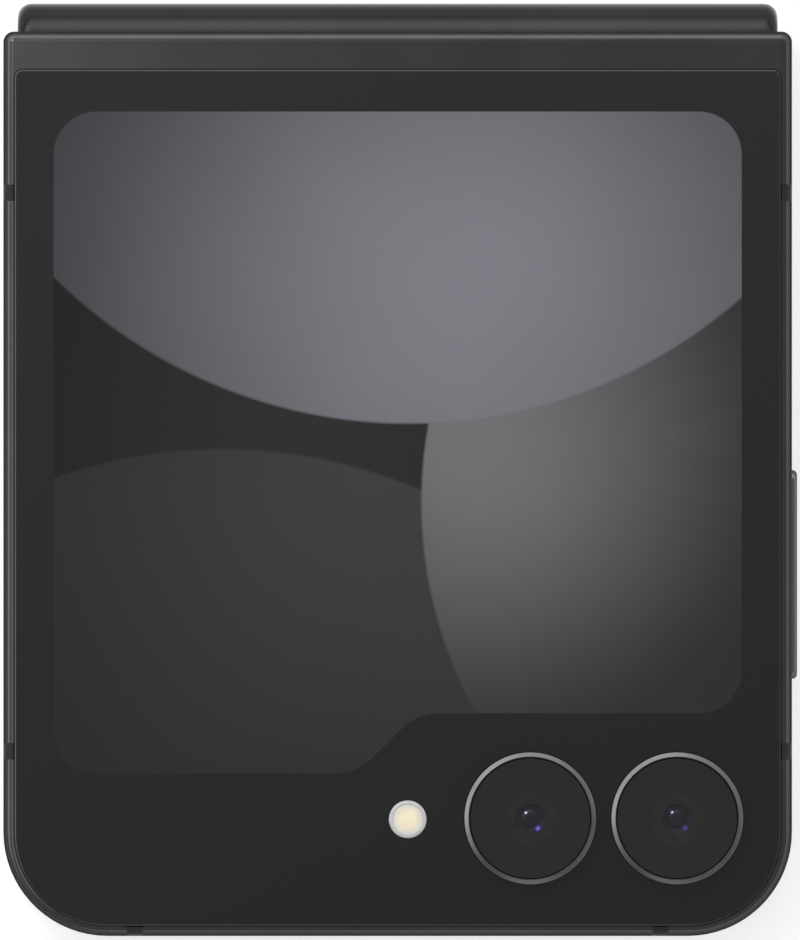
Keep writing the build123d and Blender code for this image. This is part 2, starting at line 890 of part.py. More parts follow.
def spine_screw_planes(sides):
    """Planes on the hinge blocks' ears, with their normals out of the spine."""
    return [
        Plane(
            origin=(
                side * module_x + ear_side * (module_half_width + ear_width / 2),
                axis_y + spine_boss_floor - ear_thickness,
                middle_z,
            ),
            x_dir=(1, 0, 0),
            z_dir=(0, -1, 0),
        )
        for side in sides
        for ear_side in SIDES.values()
    ]


def hinge_arm(half, side):
    """A half's hinge arm: a block screwed to the frame, a low bridge, a neck and a toothed arc."""
    ring_phase = first_ring_tooth if half == BASE else lid_ring_phase
    ring_tip = ring_pitch_radius - addendum
    ring_root = ring_pitch_radius + dedendum
    tongue_x = side * module_x + arm_offset(half, side)
    neck_low = neck_top_depth - neck_thickness
    x_range = around(side * module_x, arm_width)
    bridge_y = (arm_y - block_corner_radius, axis_y - trough_radius - arm_clearance)
    with BuildPart() as arm:
        extrude(
            patch(half, arm_seat_depth, x_range, (arm_foot_y, arm_y), block_corner_radius),
            amount=half * (display_seat - wing_play - arm_seat_depth),
        )
        extrude(
            patch(half, arm_seat_depth, x_range, bridge_y),
            amount=half * (arm_bridge_depth - arm_seat_depth),
        )
        # the neck passes over the spine's edge, in arm coordinates: depth against u
        root_angle = radians(tongue_from)
        root_u, root_v = tongue_outer_radius * cos(root_angle), tongue_outer_radius * sin(root_angle)
        inner_u, inner_v = ring_root * cos(root_angle), ring_root * sin(root_angle)
        neck_u = -trough_radius - arm_clearance
        turn_u = -spine_inner_radius + 2 * arm_clearance
        section = [
            (neck_u - neck_post, arm_seat_depth),
            (neck_u, arm_seat_depth),
            (neck_u, neck_low),
            (turn_u, neck_low),
            (root_u, axis_depth + root_v),
            (inner_u, axis_depth + inner_v),
            (inner_u, neck_top_depth),
            (neck_u - neck_post, neck_top_depth),
        ]
        with BuildSketch(hinge_plane(tongue_x - tongue_width / 2)):
            with BuildLine():
                Polyline(*[(u, half * (depth - middle_z)) for u, depth in section], close=True)
            make_face()
        extrude(amount=tongue_width)
        # toothed arc
        pitch = 360 / ring_teeth
        count = int((tongue_to - pitch / 2 - first_ring_tooth) / pitch) + 1
        tooth = tooth_points(ring_pitch_radius, ring_teeth, ring_root + root_overlap, ring_tip, True)
        low, high = sorted((half * tongue_from, half * tongue_to))
        with BuildSketch(hinge_plane(tongue_x - tongue_width / 2, 0, -half * axis_offset)):
            with BuildLine():
                for radius in (ring_root, tongue_outer_radius):
                    CenterArc((0, 0), radius, low, high - low)
                for angle in (low, high):
                    ray = cos(radians(angle)), sin(radians(angle))
                    Line(
                        (ring_root * ray[0], ring_root * ray[1]),
                        (tongue_outer_radius * ray[0], tongue_outer_radius * ray[1]),
                    )
            make_face()
            first = low + pitch / 2 + (ring_phase - low - pitch / 2) % pitch
            with PolarLocations(0, count, start_angle=first, angular_range=count * pitch):
                Polygon(*tooth, align=None)
        extrude(amount=tongue_width)
        with Locations(*arm_screw_planes(half, side, display_seat - wing_play)):
            CounterBoreHole(
                screw_radius,
                screw_head_radius + side_play,
                screw_head_height + side_play,
                depth=display_seat - arm_seat_depth + cut_past,
            )
    return arm.part


def arm_screws(half):
    """The four screws of a half's hinge arms."""
    seat_depth = display_seat - wing_play - screw_head_height - side_play
    planes = [plane for side in SIDES.values() for plane in arm_screw_planes(half, side, seat_depth)]
    return screws(planes, screw_radius, screw_head_radius, screw_head_height, screw_length)


# --- Spine ----------------------------------------------------------------------------------------
def spine_cover():
    """The spine's shell, which the two halves fold round."""
    with BuildPart() as shell:
        extrude(spine_section(-spine_length / 2, spine_radius, flange_start), amount=spine_length)
        end_faces = shell.faces().filter_by(Axis.X)
        rounded = [edge for edge in end_faces.edges() if edge.center().Y > axis_y + flange_start + pin_play]
        fillet(rounded, spine_end_radius)
        hollow_length = spine_length - 2 * spine_end_wall
        extrude(
            spine_section(-hollow_length / 2, spine_inner_radius, flange_start),
            amount=hollow_length,
            mode=Mode.SUBTRACT,
        )
        # ways for the arms' necks when the phone is open
        for half in (BASE, LID):
            for side in SIDES.values():
                tongue_x = side * module_x + arm_offset(half, side)
                with BuildSketch(hinge_plane(tongue_x - tongue_width / 2 - notch_play)):
                    Rectangle(
                        2 * notch_start, 2 * spine_radius, align=(Align.CENTER, towards_middle(-half))
                    )
                extrude(amount=tongue_width + 2 * notch_play, mode=Mode.SUBTRACT)
        # hollow in the end walls for the folded display's loop
        with BuildSketch(hinge_plane(-spine_length / 2)):
            Rectangle(2 * recess_floor, 2 * recess_half_height)
        extrude(amount=spine_length, mode=Mode.SUBTRACT)
        # threaded bosses
        for plane in spine_screw_planes(SIDES.values()):
            with BuildSketch(plane.offset(-ear_thickness)):
                Circle(spine_boss_radius)
            extrude(amount=-spine_boss_height - pin_play)
        with Locations(*spine_screw_planes(SIDES.values())):
            Hole(spine_screw_radius, depth=spine_screw_length)
    return shell.part


def fold_display():
    """The folding display between its two flat parts, hanging in a drop-shaped loop."""
    tilt = radians(wing_tilt)
    back_v = display_face_v + display_thickness
    with BuildPart() as film:
        with BuildSketch(hinge_plane(-body_width / 2 + display_margin)):
            with BuildLine():
                for radius, flat_v in ((loop_radius, display_face_v), (loop_outer_radius, back_v)):
                    touch_u, touch_v = loop_centre - radius * sin(tilt), radius * cos(tilt)
                    for sign in (1, -1):
                        Line((-fold_start, sign * flat_v), (touch_u, sign * touch_v))
                    ThreePointArc((touch_u, touch_v), (loop_centre + radius, 0), (touch_u, -touch_v))
                for sign in (1, -1):
                    Line((-fold_start, sign * display_face_v), (-fold_start, sign * back_v))
            make_face()
        extrude(amount=body_width - 2 * display_margin)
    return film.part


def hinge_cable():
    """The ribbon cable that joins the boards through the spine."""
    inner_radius = flex_bend_radius - flex_thickness / 2
    outer_radius = flex_bend_radius + flex_thickness / 2
    with BuildPart() as ribbon:
        with BuildSketch(hinge_plane(-flex_width / 2)):
            with BuildLine():
                for radius in (inner_radius, outer_radius):
                    for sign in (1, -1):
                        Line((-flex_end, sign * radius), (flex_centre, sign * radius))
                    ThreePointArc((flex_centre, radius), (flex_centre + radius, 0), (flex_centre, -radius))
                for sign in (1, -1):
                    Line((-flex_end, sign * inner_radius), (-flex_end, sign * outer_radius))
            make_face()
        extrude(amount=flex_width)
    return ribbon.part


# --- Lid: cameras and flash -----------------------------------------------------------------------
camera_places = [(camera_x, camera_y), (camera_x + camera_pitch, camera_y)]
lens_radius = ring_radius - ring_width
ring_top = -ring_height
lens_depth = ring_top + lens_recess + lens_thickness


def round_stack(half, places, steps):
    """Coaxial discs at each place: (radius, depth from, depth to)."""
    with BuildPart() as stack:
        for x, y in places:
            for radius, top, bottom in steps:
                extrude(disc(half, x, y, top, radius), amount=half * (bottom - top))
    return stack.part


def camera_rings():
    """The two metal rings that stand up round the camera lenses."""
    flange_depth = glass_thickness + ring_flange_thickness
    steps = [
        (ring_radius, ring_top, glass_thickness),
        (ring_radius + ring_flange, glass_thickness, flange_depth),
    ]
    with BuildPart() as rings:
        add(round_stack(LID, camera_places, steps))
        top_edges = rings.edges().filter_by(GeomType.CIRCLE).group_by(Axis.Z)[-1]
        fillet(top_edges, ring_edge_radius)
        for x, y in camera_places:
            extrude(
                disc(LID, x, y, ring_top, lens_radius), amount=ring_top - lens_depth, mode=Mode.SUBTRACT
            )
            extrude(
                disc(LID, x, y, lens_depth, lens_radius - lens_ledge),
                amount=lens_depth - flange_depth,
                mode=Mode.SUBTRACT,
            )
    return rings.part


def camera_modules():
    """The two cameras: a square body on the board side and a barrel up to the lens."""
    body_depth = glass_thickness + ring_flange_thickness + running_gap
    with BuildPart() as modules:
        add(round_stack(LID, camera_places, [(barrel_radius, lens_depth, body_depth)]))
        for x, y in camera_places:
            x_range, y_range = around(x, camera_body), around(y, camera_body)
            extrude(
                patch(LID, body_depth, x_range, y_range, block_corner_radius),
                amount=body_depth - plate_depth,
            )
        fillet(modules.edges().filter_by(GeomType.CIRCLE).group_by(Axis.Z)[-1], barrel_edge_radius)
    return modules.part


def cover_glass():
    """The lid's outer glass, with holes for the cameras and the flash."""
    with BuildPart() as glass:
        add(outer_glass(LID))
        holes = [(x, y, ring_radius) for x, y in camera_places] + [(flash_x, flash_y, flash_radius)]
        for x, y, radius in holes:
            extrude(
                disc(LID, x, y, 0, radius + running_gap), amount=-glass_thickness, mode=Mode.SUBTRACT
            )
    return glass.part


# --- Lid: keys and card tray ----------------------------------------------------------------------
tray_inner = -side_x + tray_head_thickness + tray_length
key_face = cavity_side - key_play


def key(y, length, height, proud):
    """A side key: a rounded cap through the frame's wall, on a wider flange behind it."""
    with BuildPart() as cap:
        extrude(slot(side_plane(key_face, y, LID), length, height), amount=side_x + proud - key_face)
        fillet(cap.edges().group_by(Axis.X)[-1], key_edge_radius)
        with BuildSketch(side_plane(key_face, y, LID)):
            Rectangle(length + 2 * key_flange, height + 2 * key_flange)
        extrude(amount=-key_flange_thickness)
    return cap.part


def key_opening(y, length, height):
    """The way of a key through the frame's wall."""
    return slot(side_plane(side_x, y, LID), length + 2 * key_play, height + 2 * key_play)


def key_switches():
    """The dome switches behind the keys: two for the volume key and one for the side key."""
    with BuildPart() as switches:
        for y in (*around(volume_y, volume_switch_spacing), side_key_y):
            with BuildSketch(side_plane(switch_x, y, LID)):
                RectangleRounded(switch_length, switch_length, block_corner_radius)
            extrude(amount=-switch_thickness)
    return switches.part


def card_tray():
    """The card tray with its flush head, its card window and its eject hole."""
    card_inner = tray_inner - card_margin
    with BuildPart() as tray:
        extrude(
            slot(side_plane(-side_x, tray_y, LID), tray_head_length, tray_head_height),
            amount=tray_head_thickness,
        )
        with BuildSketch(side_plane(-side_x + tray_head_thickness, tray_y, LID)):
            Rectangle(tray_width, tray_thickness)
        extrude(amount=tray_length)
        extrude(
            patch(
                LID,
                half_middle - tray_thickness / 2,
                (card_inner - card_length, card_inner),
                around(tray_y, card_width),
                block_corner_radius,
            ),
            amount=-card_thickness,
            mode=Mode.SUBTRACT,
        )
        eject_y = tray_y + (tray_head_length - tray_head_height) / 2
        with BuildSketch(side_plane(-side_x, eject_y, LID)):
            Circle(eject_radius)
        extrude(amount=tray_head_thickness, mode=Mode.SUBTRACT)
    return tray.part


def card_reader():
    """The reader on the board that the tray slides into."""
    start = -cavity_side + running_gap
    reader_length = tray_inner + reader_set_back - start
    reader_width = tray_width + 2 * tray_play + 2 * reader_wall
    reader_height = tray_thickness + 2 * tray_play + 2 * reader_wall
    with BuildPart() as reader:
        with BuildSketch(side_plane(start, tray_y, LID)):
            Rectangle(reader_width, reader_height)
        extrude(amount=reader_length + 2 * reader_wall)
        with BuildSketch(side_plane(start, tray_y, LID)):
            Rectangle(reader_width - 2 * reader_wall, reader_height - 2 * reader_wall)
        extrude(amount=reader_length, mode=Mode.SUBTRACT)
    return reader.part


# --- Lid: board and its neighbours ----------------------------------------------------------------
switch_x = key_face - key_flange_thickness - key_travel - running_gap
board_side = switch_x - switch_thickness - shield_wall


def main_board():
    """The lid's circuit board, with a leg down beside the cameras."""
    with BuildPart() as board:
        shapes = [
            ((-board_side, board_side), (board_step_y, board_end)),
            ((-board_side, board_leg_x), (board_foot, board_step_y + 2 * block_corner_radius)),
        ]
        for x_range, y_range in shapes:
            extrude(
                patch(LID, board_depth, x_range, y_range, block_corner_radius), amount=-board_thickness
            )
    return board.part


def board_shields():
    """The sheet-metal cans over the board's chips, side by side between the reader and the edge."""
    top = board_depth - shield_height
    start = tray_inner + reader_set_back + 2 * reader_wall + shield_gap
    y_range = (board_step_y + shield_gap, board_end - shield_gap)
    with BuildPart() as shields:
        x = start
        while x + shield_gap < board_side:
            end = min(x + shield_width, board_side - shield_gap)
            extrude(patch(LID, top, (x, end), y_range, block_corner_radius), amount=-shield_height)
            inner_x = (x + shield_wall, end - shield_wall)
            inner_y = (y_range[0] + shield_wall, y_range[1] - shield_wall)
            extrude(
                patch(LID, top + shield_wall, inner_x, inner_y, block_corner_radius - shield_wall),
                amount=-shield_height,
                mode=Mode.SUBTRACT,
            )
            x = end + shield_gap
    return shields.part


def front_camera():
    """The small camera that looks out through the folding display."""
    x_range, y_range = around(0, front_camera_body), around(front_camera_y, front_camera_body)
    top = board_depth - front_camera_height
    with BuildPart() as camera:
        extrude(patch(LID, top, x_range, y_range, block_corner_radius), amount=top - plate_depth + glue)
        extrude(
            disc(LID, 0, front_camera_y, plate_depth - glue, front_camera_radius),
            amount=plate_depth - display_depth + running_gap,
        )
    return camera.part


# --- Base: inner parts ----------------------------------------------------------------------------
def block_in(half, x_range, y_range, depths):
    """A plain block between two depths of a half, with its corners and edges rounded."""
    with BuildPart() as block:
        extrude(
            patch(half, depths[0], x_range, y_range, block_corner_radius),
            amount=half * (depths[1] - depths[0]),
        )
        fillet(block.edges().filter_by(Axis.Z, reverse=True), block_edge_radius)
    return block.part


def battery(half, side, foot):
    """A pouch battery glued to a half's middle plate, ending below the hinge arms."""
    top = arm_foot_y - 2 * battery_clearance
    return block_in(half, (-side, side), (foot, top), (battery_top_depth, plate_depth - glue))


def charging_coil():
    """The flat coil behind the back glass."""
    centre = (base_battery_foot + arm_foot_y) / 2
    with BuildPart() as coil:
        with BuildSketch(level(BASE, battery_top_depth - coil_thickness - glue)):
            with Locations((0, centre)):
                Circle(coil_outer_radius)
                Circle(coil_inner_radius, mode=Mode.SUBTRACT)
        extrude(amount=coil_thickness)
    return coil.part


def port():
    """The charging port: a metal shell round a contact tongue."""
    with BuildPart() as shell:
        mouth = foot_plane(0, foot_y + port_set_back, BASE)
        extrude(slot(mouth, port_width, port_height), amount=-port_length)
        extrude(
            slot(mouth, port_width - 2 * port_shell, port_height - 2 * port_shell),
            amount=-port_length + port_shell,
            mode=Mode.SUBTRACT,
        )
        with BuildSketch(mouth.offset(-port_length + port_shell)):
            Rectangle(port_tongue_width, port_tongue_thickness)
        extrude(amount=port_tongue_length)
    return shell.part


def lower_board():
    """The base's small circuit board, under the port and its neighbours."""
    side = cavity_side - battery_clearance
    y_range = (lower_part_foot, base_battery_foot - battery_clearance)
    with BuildPart() as board:
        extrude(
            patch(BASE, lower_board_top, (-side, side), y_range, foot_corner_radius - wall),
            amount=lower_board_thickness - glue,
        )
        for x, y in boss_places():
            extrude(
                disc(BASE, x, y, lower_board_top, boss_radius + key_play),
                amount=lower_board_thickness,
                mode=Mode.SUBTRACT,
            )
    return board.part


def inner_cover():
    """The plastic cover over the base's lower board."""
    side = cavity_side - battery_clearance
    y_range = (cavity_foot + battery_clearance, base_battery_foot - battery_clearance)
    with BuildPart() as cover:
        extrude(
            patch(BASE, cover_depth, (-side, side), y_range, foot_corner_radius - wall),
            amount=cover_thickness,
        )
        for x, y in boss_places():
            extrude(
                disc(BASE, x, y, cover_depth, screw_radius), amount=cover_thickness, mode=Mode.SUBTRACT
            )
    return cover.part


def cover_screw_planes(depth):
    """Planes of the inner cover's screws at a depth, with their normals out of the back."""
    return [
        Plane(origin=(x, y, z_at(BASE, depth)), x_dir=(1, 0, 0), z_dir=(0, 0, -1))
        for x, y in boss_places()
    ]


def cover_screws():
    """The four screws of the inner cover."""
    planes = cover_screw_planes(cover_depth)
    return screws(planes, screw_radius, screw_head_radius, cover_screw_head, screw_length)


os.makedirs("parts", exist_ok=True)

# --- Base -----------------------------------------------------------------------------------------
base_body = frame_body(BASE)
with BuildPart() as base_frame:
    add(base_body)
    extrude(band_plan(BASE), amount=half_thickness, mode=Mode.SUBTRACT)
    # bosses of the inner cover's screws
    for x, y in boss_places():
        extrude(
            disc(BASE, x, y, cover_depth + cover_thickness, boss_radius),
            amount=plate_depth - cover_depth - cover_thickness,
        )
    with Locations(*cover_screw_planes(cover_depth + cover_thickness)):
        Hole(screw_radius, depth=screw_length)
    # openings in the foot: port, loudspeaker and microphone
    extrude(
        slot(foot_plane(0, foot_y, BASE), port_width + 2 * running_gap, port_height + 2 * running_gap),
        amount=-wall,
        mode=Mode.SUBTRACT,
    )
    with BuildSketch(foot_plane(0, foot_y, BASE)):
        with Locations((speaker_x, 0)):
            with GridLocations(speaker_hole_pitch, 1, speaker_holes, 1):
                Circle(speaker_hole_radius)
        with Locations((microphone_x, 0)):
            Circle(sound_hole_radius)
    extrude(amount=-wall, mode=Mode.SUBTRACT)
save(base_frame.part, "base_frame")
save(antenna_bands(BASE, base_body), "base_antenna_bands")
save(outer_glass(BASE), "base_back_glass")
save(flat_display(BASE), "base_display")
save(bezel(BASE), "base_bezel")
save(wing_plate(BASE), "base_wing_plate")
for word, side in SIDES.items():
    save(hinge_arm(BASE, side), f"base_hinge_arm_{word}")
    save(hinge_arm(LID, side), f"lid_hinge_arm_{word}")
    save(hinge_block(side), f"hinge_block_{word}")
    for name in gear_places:
        save(gear(name, side), f"{name}_gear_{word}")
save(gear_pins(), "gear_pins")
save(friction_clips(), "friction_clips")
save(spine_cover(), "spine_cover")
save(
    screws(
        spine_screw_planes(SIDES.values()),
        spine_screw_radius,
        spine_screw_head,
        screw_head_height,
        spine_screw_length,
    ),
    "spine_screws",
)
save(fold_display(), "fold_display")
save(hinge_cable(), "hinge_cable")

save(
    block_in(
        BASE,
        around(speaker_x, speaker_width),
        (lower_part_foot, lower_part_foot + speaker_length),
        (cover_depth + cover_thickness, lower_board_top),
    ),
    "loudspeaker",
)
save(
    block_in(
        BASE,
        around(microphone_x, microphone_size),
        (lower_part_foot, lower_part_foot + microphone_size),
        (lower_board_top - microphone_height, lower_board_top),
    ),
    "bottom_microphone",
)
with BuildPart() as haptic_motor:
    extrude(
        disc(BASE, motor_x, motor_y, lower_board_top - motor_height, motor_radius), amount=motor_height
    )
save(haptic_motor.part, "haptic_motor")
save(battery(BASE, cavity_side - battery_clearance, base_battery_foot), "base_battery")
save(charging_coil(), "wireless_charging_coil")
save(port(), "usb_c_port")
save(lower_board(), "base_lower_board")
save(inner_cover(), "base_inner_cover")
with BuildPart() as base_screws:
    add(arm_screws(BASE))
    add(cover_screws())
save(base_screws.part, "base_screws")

# --- Lid ------------------------------------------------------------------------------------------
lid_body = frame_body(LID)
with BuildPart() as lid_frame:
    add(lid_body)
    extrude(band_plan(LID), amount=-half_thickness, mode=Mode.SUBTRACT)
    # ways of the keys and the card tray, and a sound hole
    extrude(key_opening(volume_y, volume_length, volume_height), amount=-wall, mode=Mode.SUBTRACT)
    extrude(key_opening(side_key_y, side_key_length, side_key_height), amount=-wall, mode=Mode.SUBTRACT)
    with BuildSketch(side_plane(-side_x, tray_y, LID)):
        Rectangle(tray_width + 2 * tray_play, tray_thickness + 2 * tray_play)
    extrude(amount=wall, mode=Mode.SUBTRACT)
    extrude(
        slot(side_plane(-side_x, tray_y, LID), tray_head_length + tray_play, tray_head_height + tray_play),
        amount=tray_head_thickness + tray_play / 2,
        mode=Mode.SUBTRACT,
    )
    with BuildSketch(foot_plane(microphone_x, foot_y, LID)):
        Circle(sound_hole_radius)
    extrude(amount=-wall, mode=Mode.SUBTRACT)
    # seat of the cover display, which reaches further than the cavity
    extrude(
        window_outline(LID, glass_seat, panel_border + display_gap),
        amount=-panel_thickness - glue,
        mode=Mode.SUBTRACT,
    )
    # way of the front camera through the middle plate
    extrude(
        disc(LID, 0, front_camera_y, 0, front_camera_radius + running_gap),
        amount=-half_thickness,
        mode=Mode.SUBTRACT,
    )
save(lid_frame.part, "lid_frame")
save(antenna_bands(LID, lid_body), "lid_antenna_bands")
save(cover_glass(), "cover_glass")
save(camera_rings(), "camera_rings")
save(camera_modules(), "camera_modules")
lens_step = (lens_radius - running_gap, ring_top + lens_recess, lens_depth)
save(round_stack(LID, camera_places, [lens_step]), "camera_lenses")
save(round_stack(LID, [(flash_x, flash_y)], [(flash_radius, 0, glass_thickness)]), "flash_lens")
save(
    block_in(
        LID,
        around(flash_x, flash_led_size),
        around(flash_y, flash_led_size),
        (glass_thickness + glue, board_depth),
    ),
    "flash_led",
)
with BuildPart() as cover_display:
    extrude(window_outline(LID, glass_seat, panel_border), amount=-panel_thickness)
save(cover_display.part, "cover_display")
with BuildPart() as lid_display:
    add(flat_display(LID))
    extrude(
        disc(LID, 0, front_camera_y, display_seat, front_camera_radius + running_gap),
        amount=-display_thickness,
        mode=Mode.SUBTRACT,
    )
save(lid_display.part, "lid_display")
with BuildPart() as lid_bezel:
    add(bezel(LID))
    with BuildSketch(level(LID, half_thickness)):
        with Locations((0, foot_y + display_margin)):
            SlotOverall(sound_slot_length, sound_slot_width)
    extrude(amount=-bezel_height, mode=Mode.SUBTRACT)
save(lid_bezel.part, "lid_bezel")
with BuildPart() as lid_bumpers:
    bezel_middle = (bezel_outer_margin + bezel_inner_margin) / 2
    for side in SIDES.values():
        places = [
            (side * (side_x - bumper_side_margin), foot_y + bezel_middle),
            (side * (side_x - bezel_middle), fold_y - bumper_fold_margin),
        ]
        for x, y in places:
            extrude(disc(LID, x, y, half_thickness + bezel_height, bumper_radius), amount=-bumper_height)
save(lid_bumpers.part, "lid_bumpers")
save(wing_plate(LID), "lid_wing_plate")
save(arm_screws(LID), "lid_screws")
save(key(volume_y, volume_length, volume_height, volume_proud), "volume_key")
save(key(side_key_y, side_key_length, side_key_height, -side_key_recess), "side_key")
save(key_switches(), "key_switches")
save(card_tray(), "card_tray")
save(card_reader(), "card_reader")
save(battery(LID, board_side, board_end + battery_clearance), "lid_battery")
save(main_board(), "main_board")
save(board_shields(), "board_shields")
save(
    block_in(
        LID,
        (-board_side + battery_clearance, board_side - battery_clearance),
        (board_step_y, board_end),
        (plate_depth - glue - spreader_thickness, plate_depth - glue),
    ),
    "heat_spreader",
)
save(
    block_in(
        LID,
        around(earpiece_x, earpiece_width),
        (lower_part_foot, lower_part_foot + earpiece_length),
        (plate_depth - glue - earpiece_height, plate_depth - glue),
    ),
    "earpiece",
)
save(front_camera(), "front_camera")
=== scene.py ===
from math import atan2, cos, pi, radians, sin, sqrt

import bmesh
import bpy
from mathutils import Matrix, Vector


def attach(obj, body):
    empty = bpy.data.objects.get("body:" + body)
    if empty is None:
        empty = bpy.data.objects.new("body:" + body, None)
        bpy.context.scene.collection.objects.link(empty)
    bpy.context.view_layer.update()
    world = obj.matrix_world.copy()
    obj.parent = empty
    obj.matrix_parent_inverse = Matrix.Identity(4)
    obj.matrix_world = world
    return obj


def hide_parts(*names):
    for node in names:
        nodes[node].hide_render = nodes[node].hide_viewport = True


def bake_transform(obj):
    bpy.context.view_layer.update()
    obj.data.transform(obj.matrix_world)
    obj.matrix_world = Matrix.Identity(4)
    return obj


# A folding flip phone, closed, seen square on to its cover side. Sizes below are millimetres, in
# the CAD's own frame: +X to the keys, +Y to the hinge, +Z out of the cover glass.
MM = 0.001
GLASS_TOP = 14.9
GLASS_DEPTH = 0.6
RING_TOP = 15.9
MIDDLE_Z = 7.45  # halfway between the two halves
AXIS_Y = 38.8  # of both fold axes, which lie AXIS_OFFSET below and above the middle
AXIS_OFFSET = 1.2
CAMERAS = [(12.08, -31.8), (25.47, -31.8)]
FLASH = (0.92, -31.9)

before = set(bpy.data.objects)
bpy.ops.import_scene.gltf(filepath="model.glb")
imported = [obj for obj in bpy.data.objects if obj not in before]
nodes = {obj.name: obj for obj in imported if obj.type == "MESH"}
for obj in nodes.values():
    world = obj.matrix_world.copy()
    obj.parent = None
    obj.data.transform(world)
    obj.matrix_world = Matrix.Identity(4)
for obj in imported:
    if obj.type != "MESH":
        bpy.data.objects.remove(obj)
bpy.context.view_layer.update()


# --- Node helpers ---------------------------------------------------------------------------------
def add(tree, kind, inputs=None, **settings):
    """One shader node, with its settings, values and links."""
    made = tree.nodes.new(kind)
    for key, value in settings.items():
        setattr(made, key, value)
    for key, value in (inputs or {}).items():
        if isinstance(value, bpy.types.NodeSocket):
            tree.links.new(value, made.inputs[key])
        else:
            made.inputs[key].default_value = value
    return made


def place(tree, stretch=(1.0, 1.0, 1.0)):
    """The object's own coordinates, stretched."""
    where = add(tree, "ShaderNodeTexCoord")
    moved = add(tree, "ShaderNodeMapping", {"Vector": where.outputs["Object"], "Scale": stretch})
    return moved.outputs["Vector"]


def noise(tree, vector, size, detail=2.0, roughness=0.5):
    """Noise whose blotches are about size millimetres across."""
    made = add(
        tree,
        "ShaderNodeTexNoise",
        {"Vector": vector, "Scale": 1 / (size * MM), "Detail": detail, "Roughness": roughness},
    )
    return made.outputs["Fac"]


def spread(tree, value, low, high, from_low=0.3, from_high=0.7, smooth=False):
    """A value carried from one range to another."""
    made = add(
        tree,
        "ShaderNodeMapRange",
        {"Value": value, "From Min": from_low, "From Max": from_high, "To Min": low, "To Max": high},
        interpolation_type="SMOOTHSTEP" if smooth else "LINEAR",
    )
    return made.outputs["Result"]


def mix(tree, factor, first, second, blend_type="MIX"):
    """Two colours mixed."""
    made = add(tree, "ShaderNodeMix", data_type="RGBA", blend_type=blend_type)
    for socket, value in ((made.inputs[0], factor), (made.inputs[6], first), (made.inputs[7], second)):
        if isinstance(value, bpy.types.NodeSocket):
            tree.links.new(value, socket)
        else:
            socket.default_value = value
    return made.outputs[2]


def calc(tree, operation, *values):
    """One sum on numbers."""
    made = add(tree, "ShaderNodeMath", dict(enumerate(values)), operation=operation)
    return made.outputs[0]


def grey(level):
    return (level, level, level, 1.0)


def grey_from(tree, value):
    """A grey whose level a node works out."""
    return add(tree, "ShaderNodeCombineColor", {0: value, 1: value, 2: value}).outputs[0]


def material(name, **values):
    """A material with a Principled shader; values are its sockets, with _ for spaces."""
    made = bpy.data.materials.new(name)
    made.use_nodes = True
    shader = made.node_tree.nodes["Principled BSDF"]
    for key, value in values.items():
        shader.inputs[key.replace("_", " ")].default_value = value
    return made, made.node_tree, shader


def bump(tree, shader, height, depth, strength=1.0):
    """Relief of a depth in millimetres."""
    made = add(
        tree, "ShaderNodeBump", {"Height": height, "Distance": depth * MM, "Strength": strength}
    )
    tree.links.new(made.outputs["Normal"], shader.inputs["Normal"])


def surface(name, dark, light, rough, blotch, grain, relief, stretch=(1, 1, 1), **values):
    """A material with colour and gloss that vary in blotches, and a fine grain in relief."""
    made, tree, shader = material(name, **values)
    vector = place(tree, stretch)
    broad = noise(tree, vector, blotch, 3.0)
    fine = noise(tree, vector, grain, 2.0)
    tree.links.new(mix(tree, spread(tree, broad, 0, 1), dark, light), shader.inputs["Base Color"])
    both = calc(tree, "MULTIPLY_ADD", fine, 0.5, calc(tree, "MULTIPLY", broad, 0.5))
    tree.links.new(spread(tree, both, rough[0], rough[1]), shader.inputs["Roughness"])
    bump(tree, shader, fine, relief)
    return made


# --- Materials ------------------------------------------------------------------------------------
def wallpaper():
    """The cover display's picture under gloss glass: soft discs that overlap, each with a glow."""
    made, tree, shader = material("display_picture", Roughness=0.03, Specular_IOR_Level=0.5)
    where = add(tree, "ShaderNodeTexCoord").outputs["Object"]

    def inside(x, y, radius, near):
        """1 at a point, falling to 0 at radius; near is where it starts to fall."""
        middle = (x * MM, y * MM, GLASS_TOP * MM)
        off = add(tree, "ShaderNodeVectorMath", {0: where, 1: middle}, operation="DISTANCE")
        return spread(tree, off.outputs["Value"], 1, 0, near * MM, radius * MM, True)

    soft_edge = 0.35
    colour = mix(tree, inside(-8, 4, 30, 2), grey(0.0060), grey(0.0180))
    discs = [
        # x, y, radius; brightest point and how far its light reaches; dark and bright colours
        ((-16, -44, 46), (-2, 0, 42), (0.0140, 0.0140, 0.0145, 1), (0.040, 0.040, 0.043, 1)),
        ((42, -3, 40), (7, 3, 31), (0.0185, 0.0185, 0.0195, 1), (0.165, 0.165, 0.172, 1)),
        ((1, 50, 46), (6, 15, 48), (0.034, 0.032, 0.038, 1), (0.206, 0.208, 0.236, 1)),
    ]
    for (x, y, radius), (glow_x, glow_y, reach), dark, bright in discs:
        shade = mix(tree, inside(glow_x, glow_y, reach, 0), dark, bright)
        colour = mix(tree, inside(x, y, radius, radius - soft_edge), colour, shade)
    haze = grey_from(tree, spread(tree, noise(tree, where, 30.0, 2.0), 0.95, 1.05))
    tree.links.new(mix(tree, 1.0, colour, haze, "MULTIPLY"), shader.inputs["Base Color"])
    return made


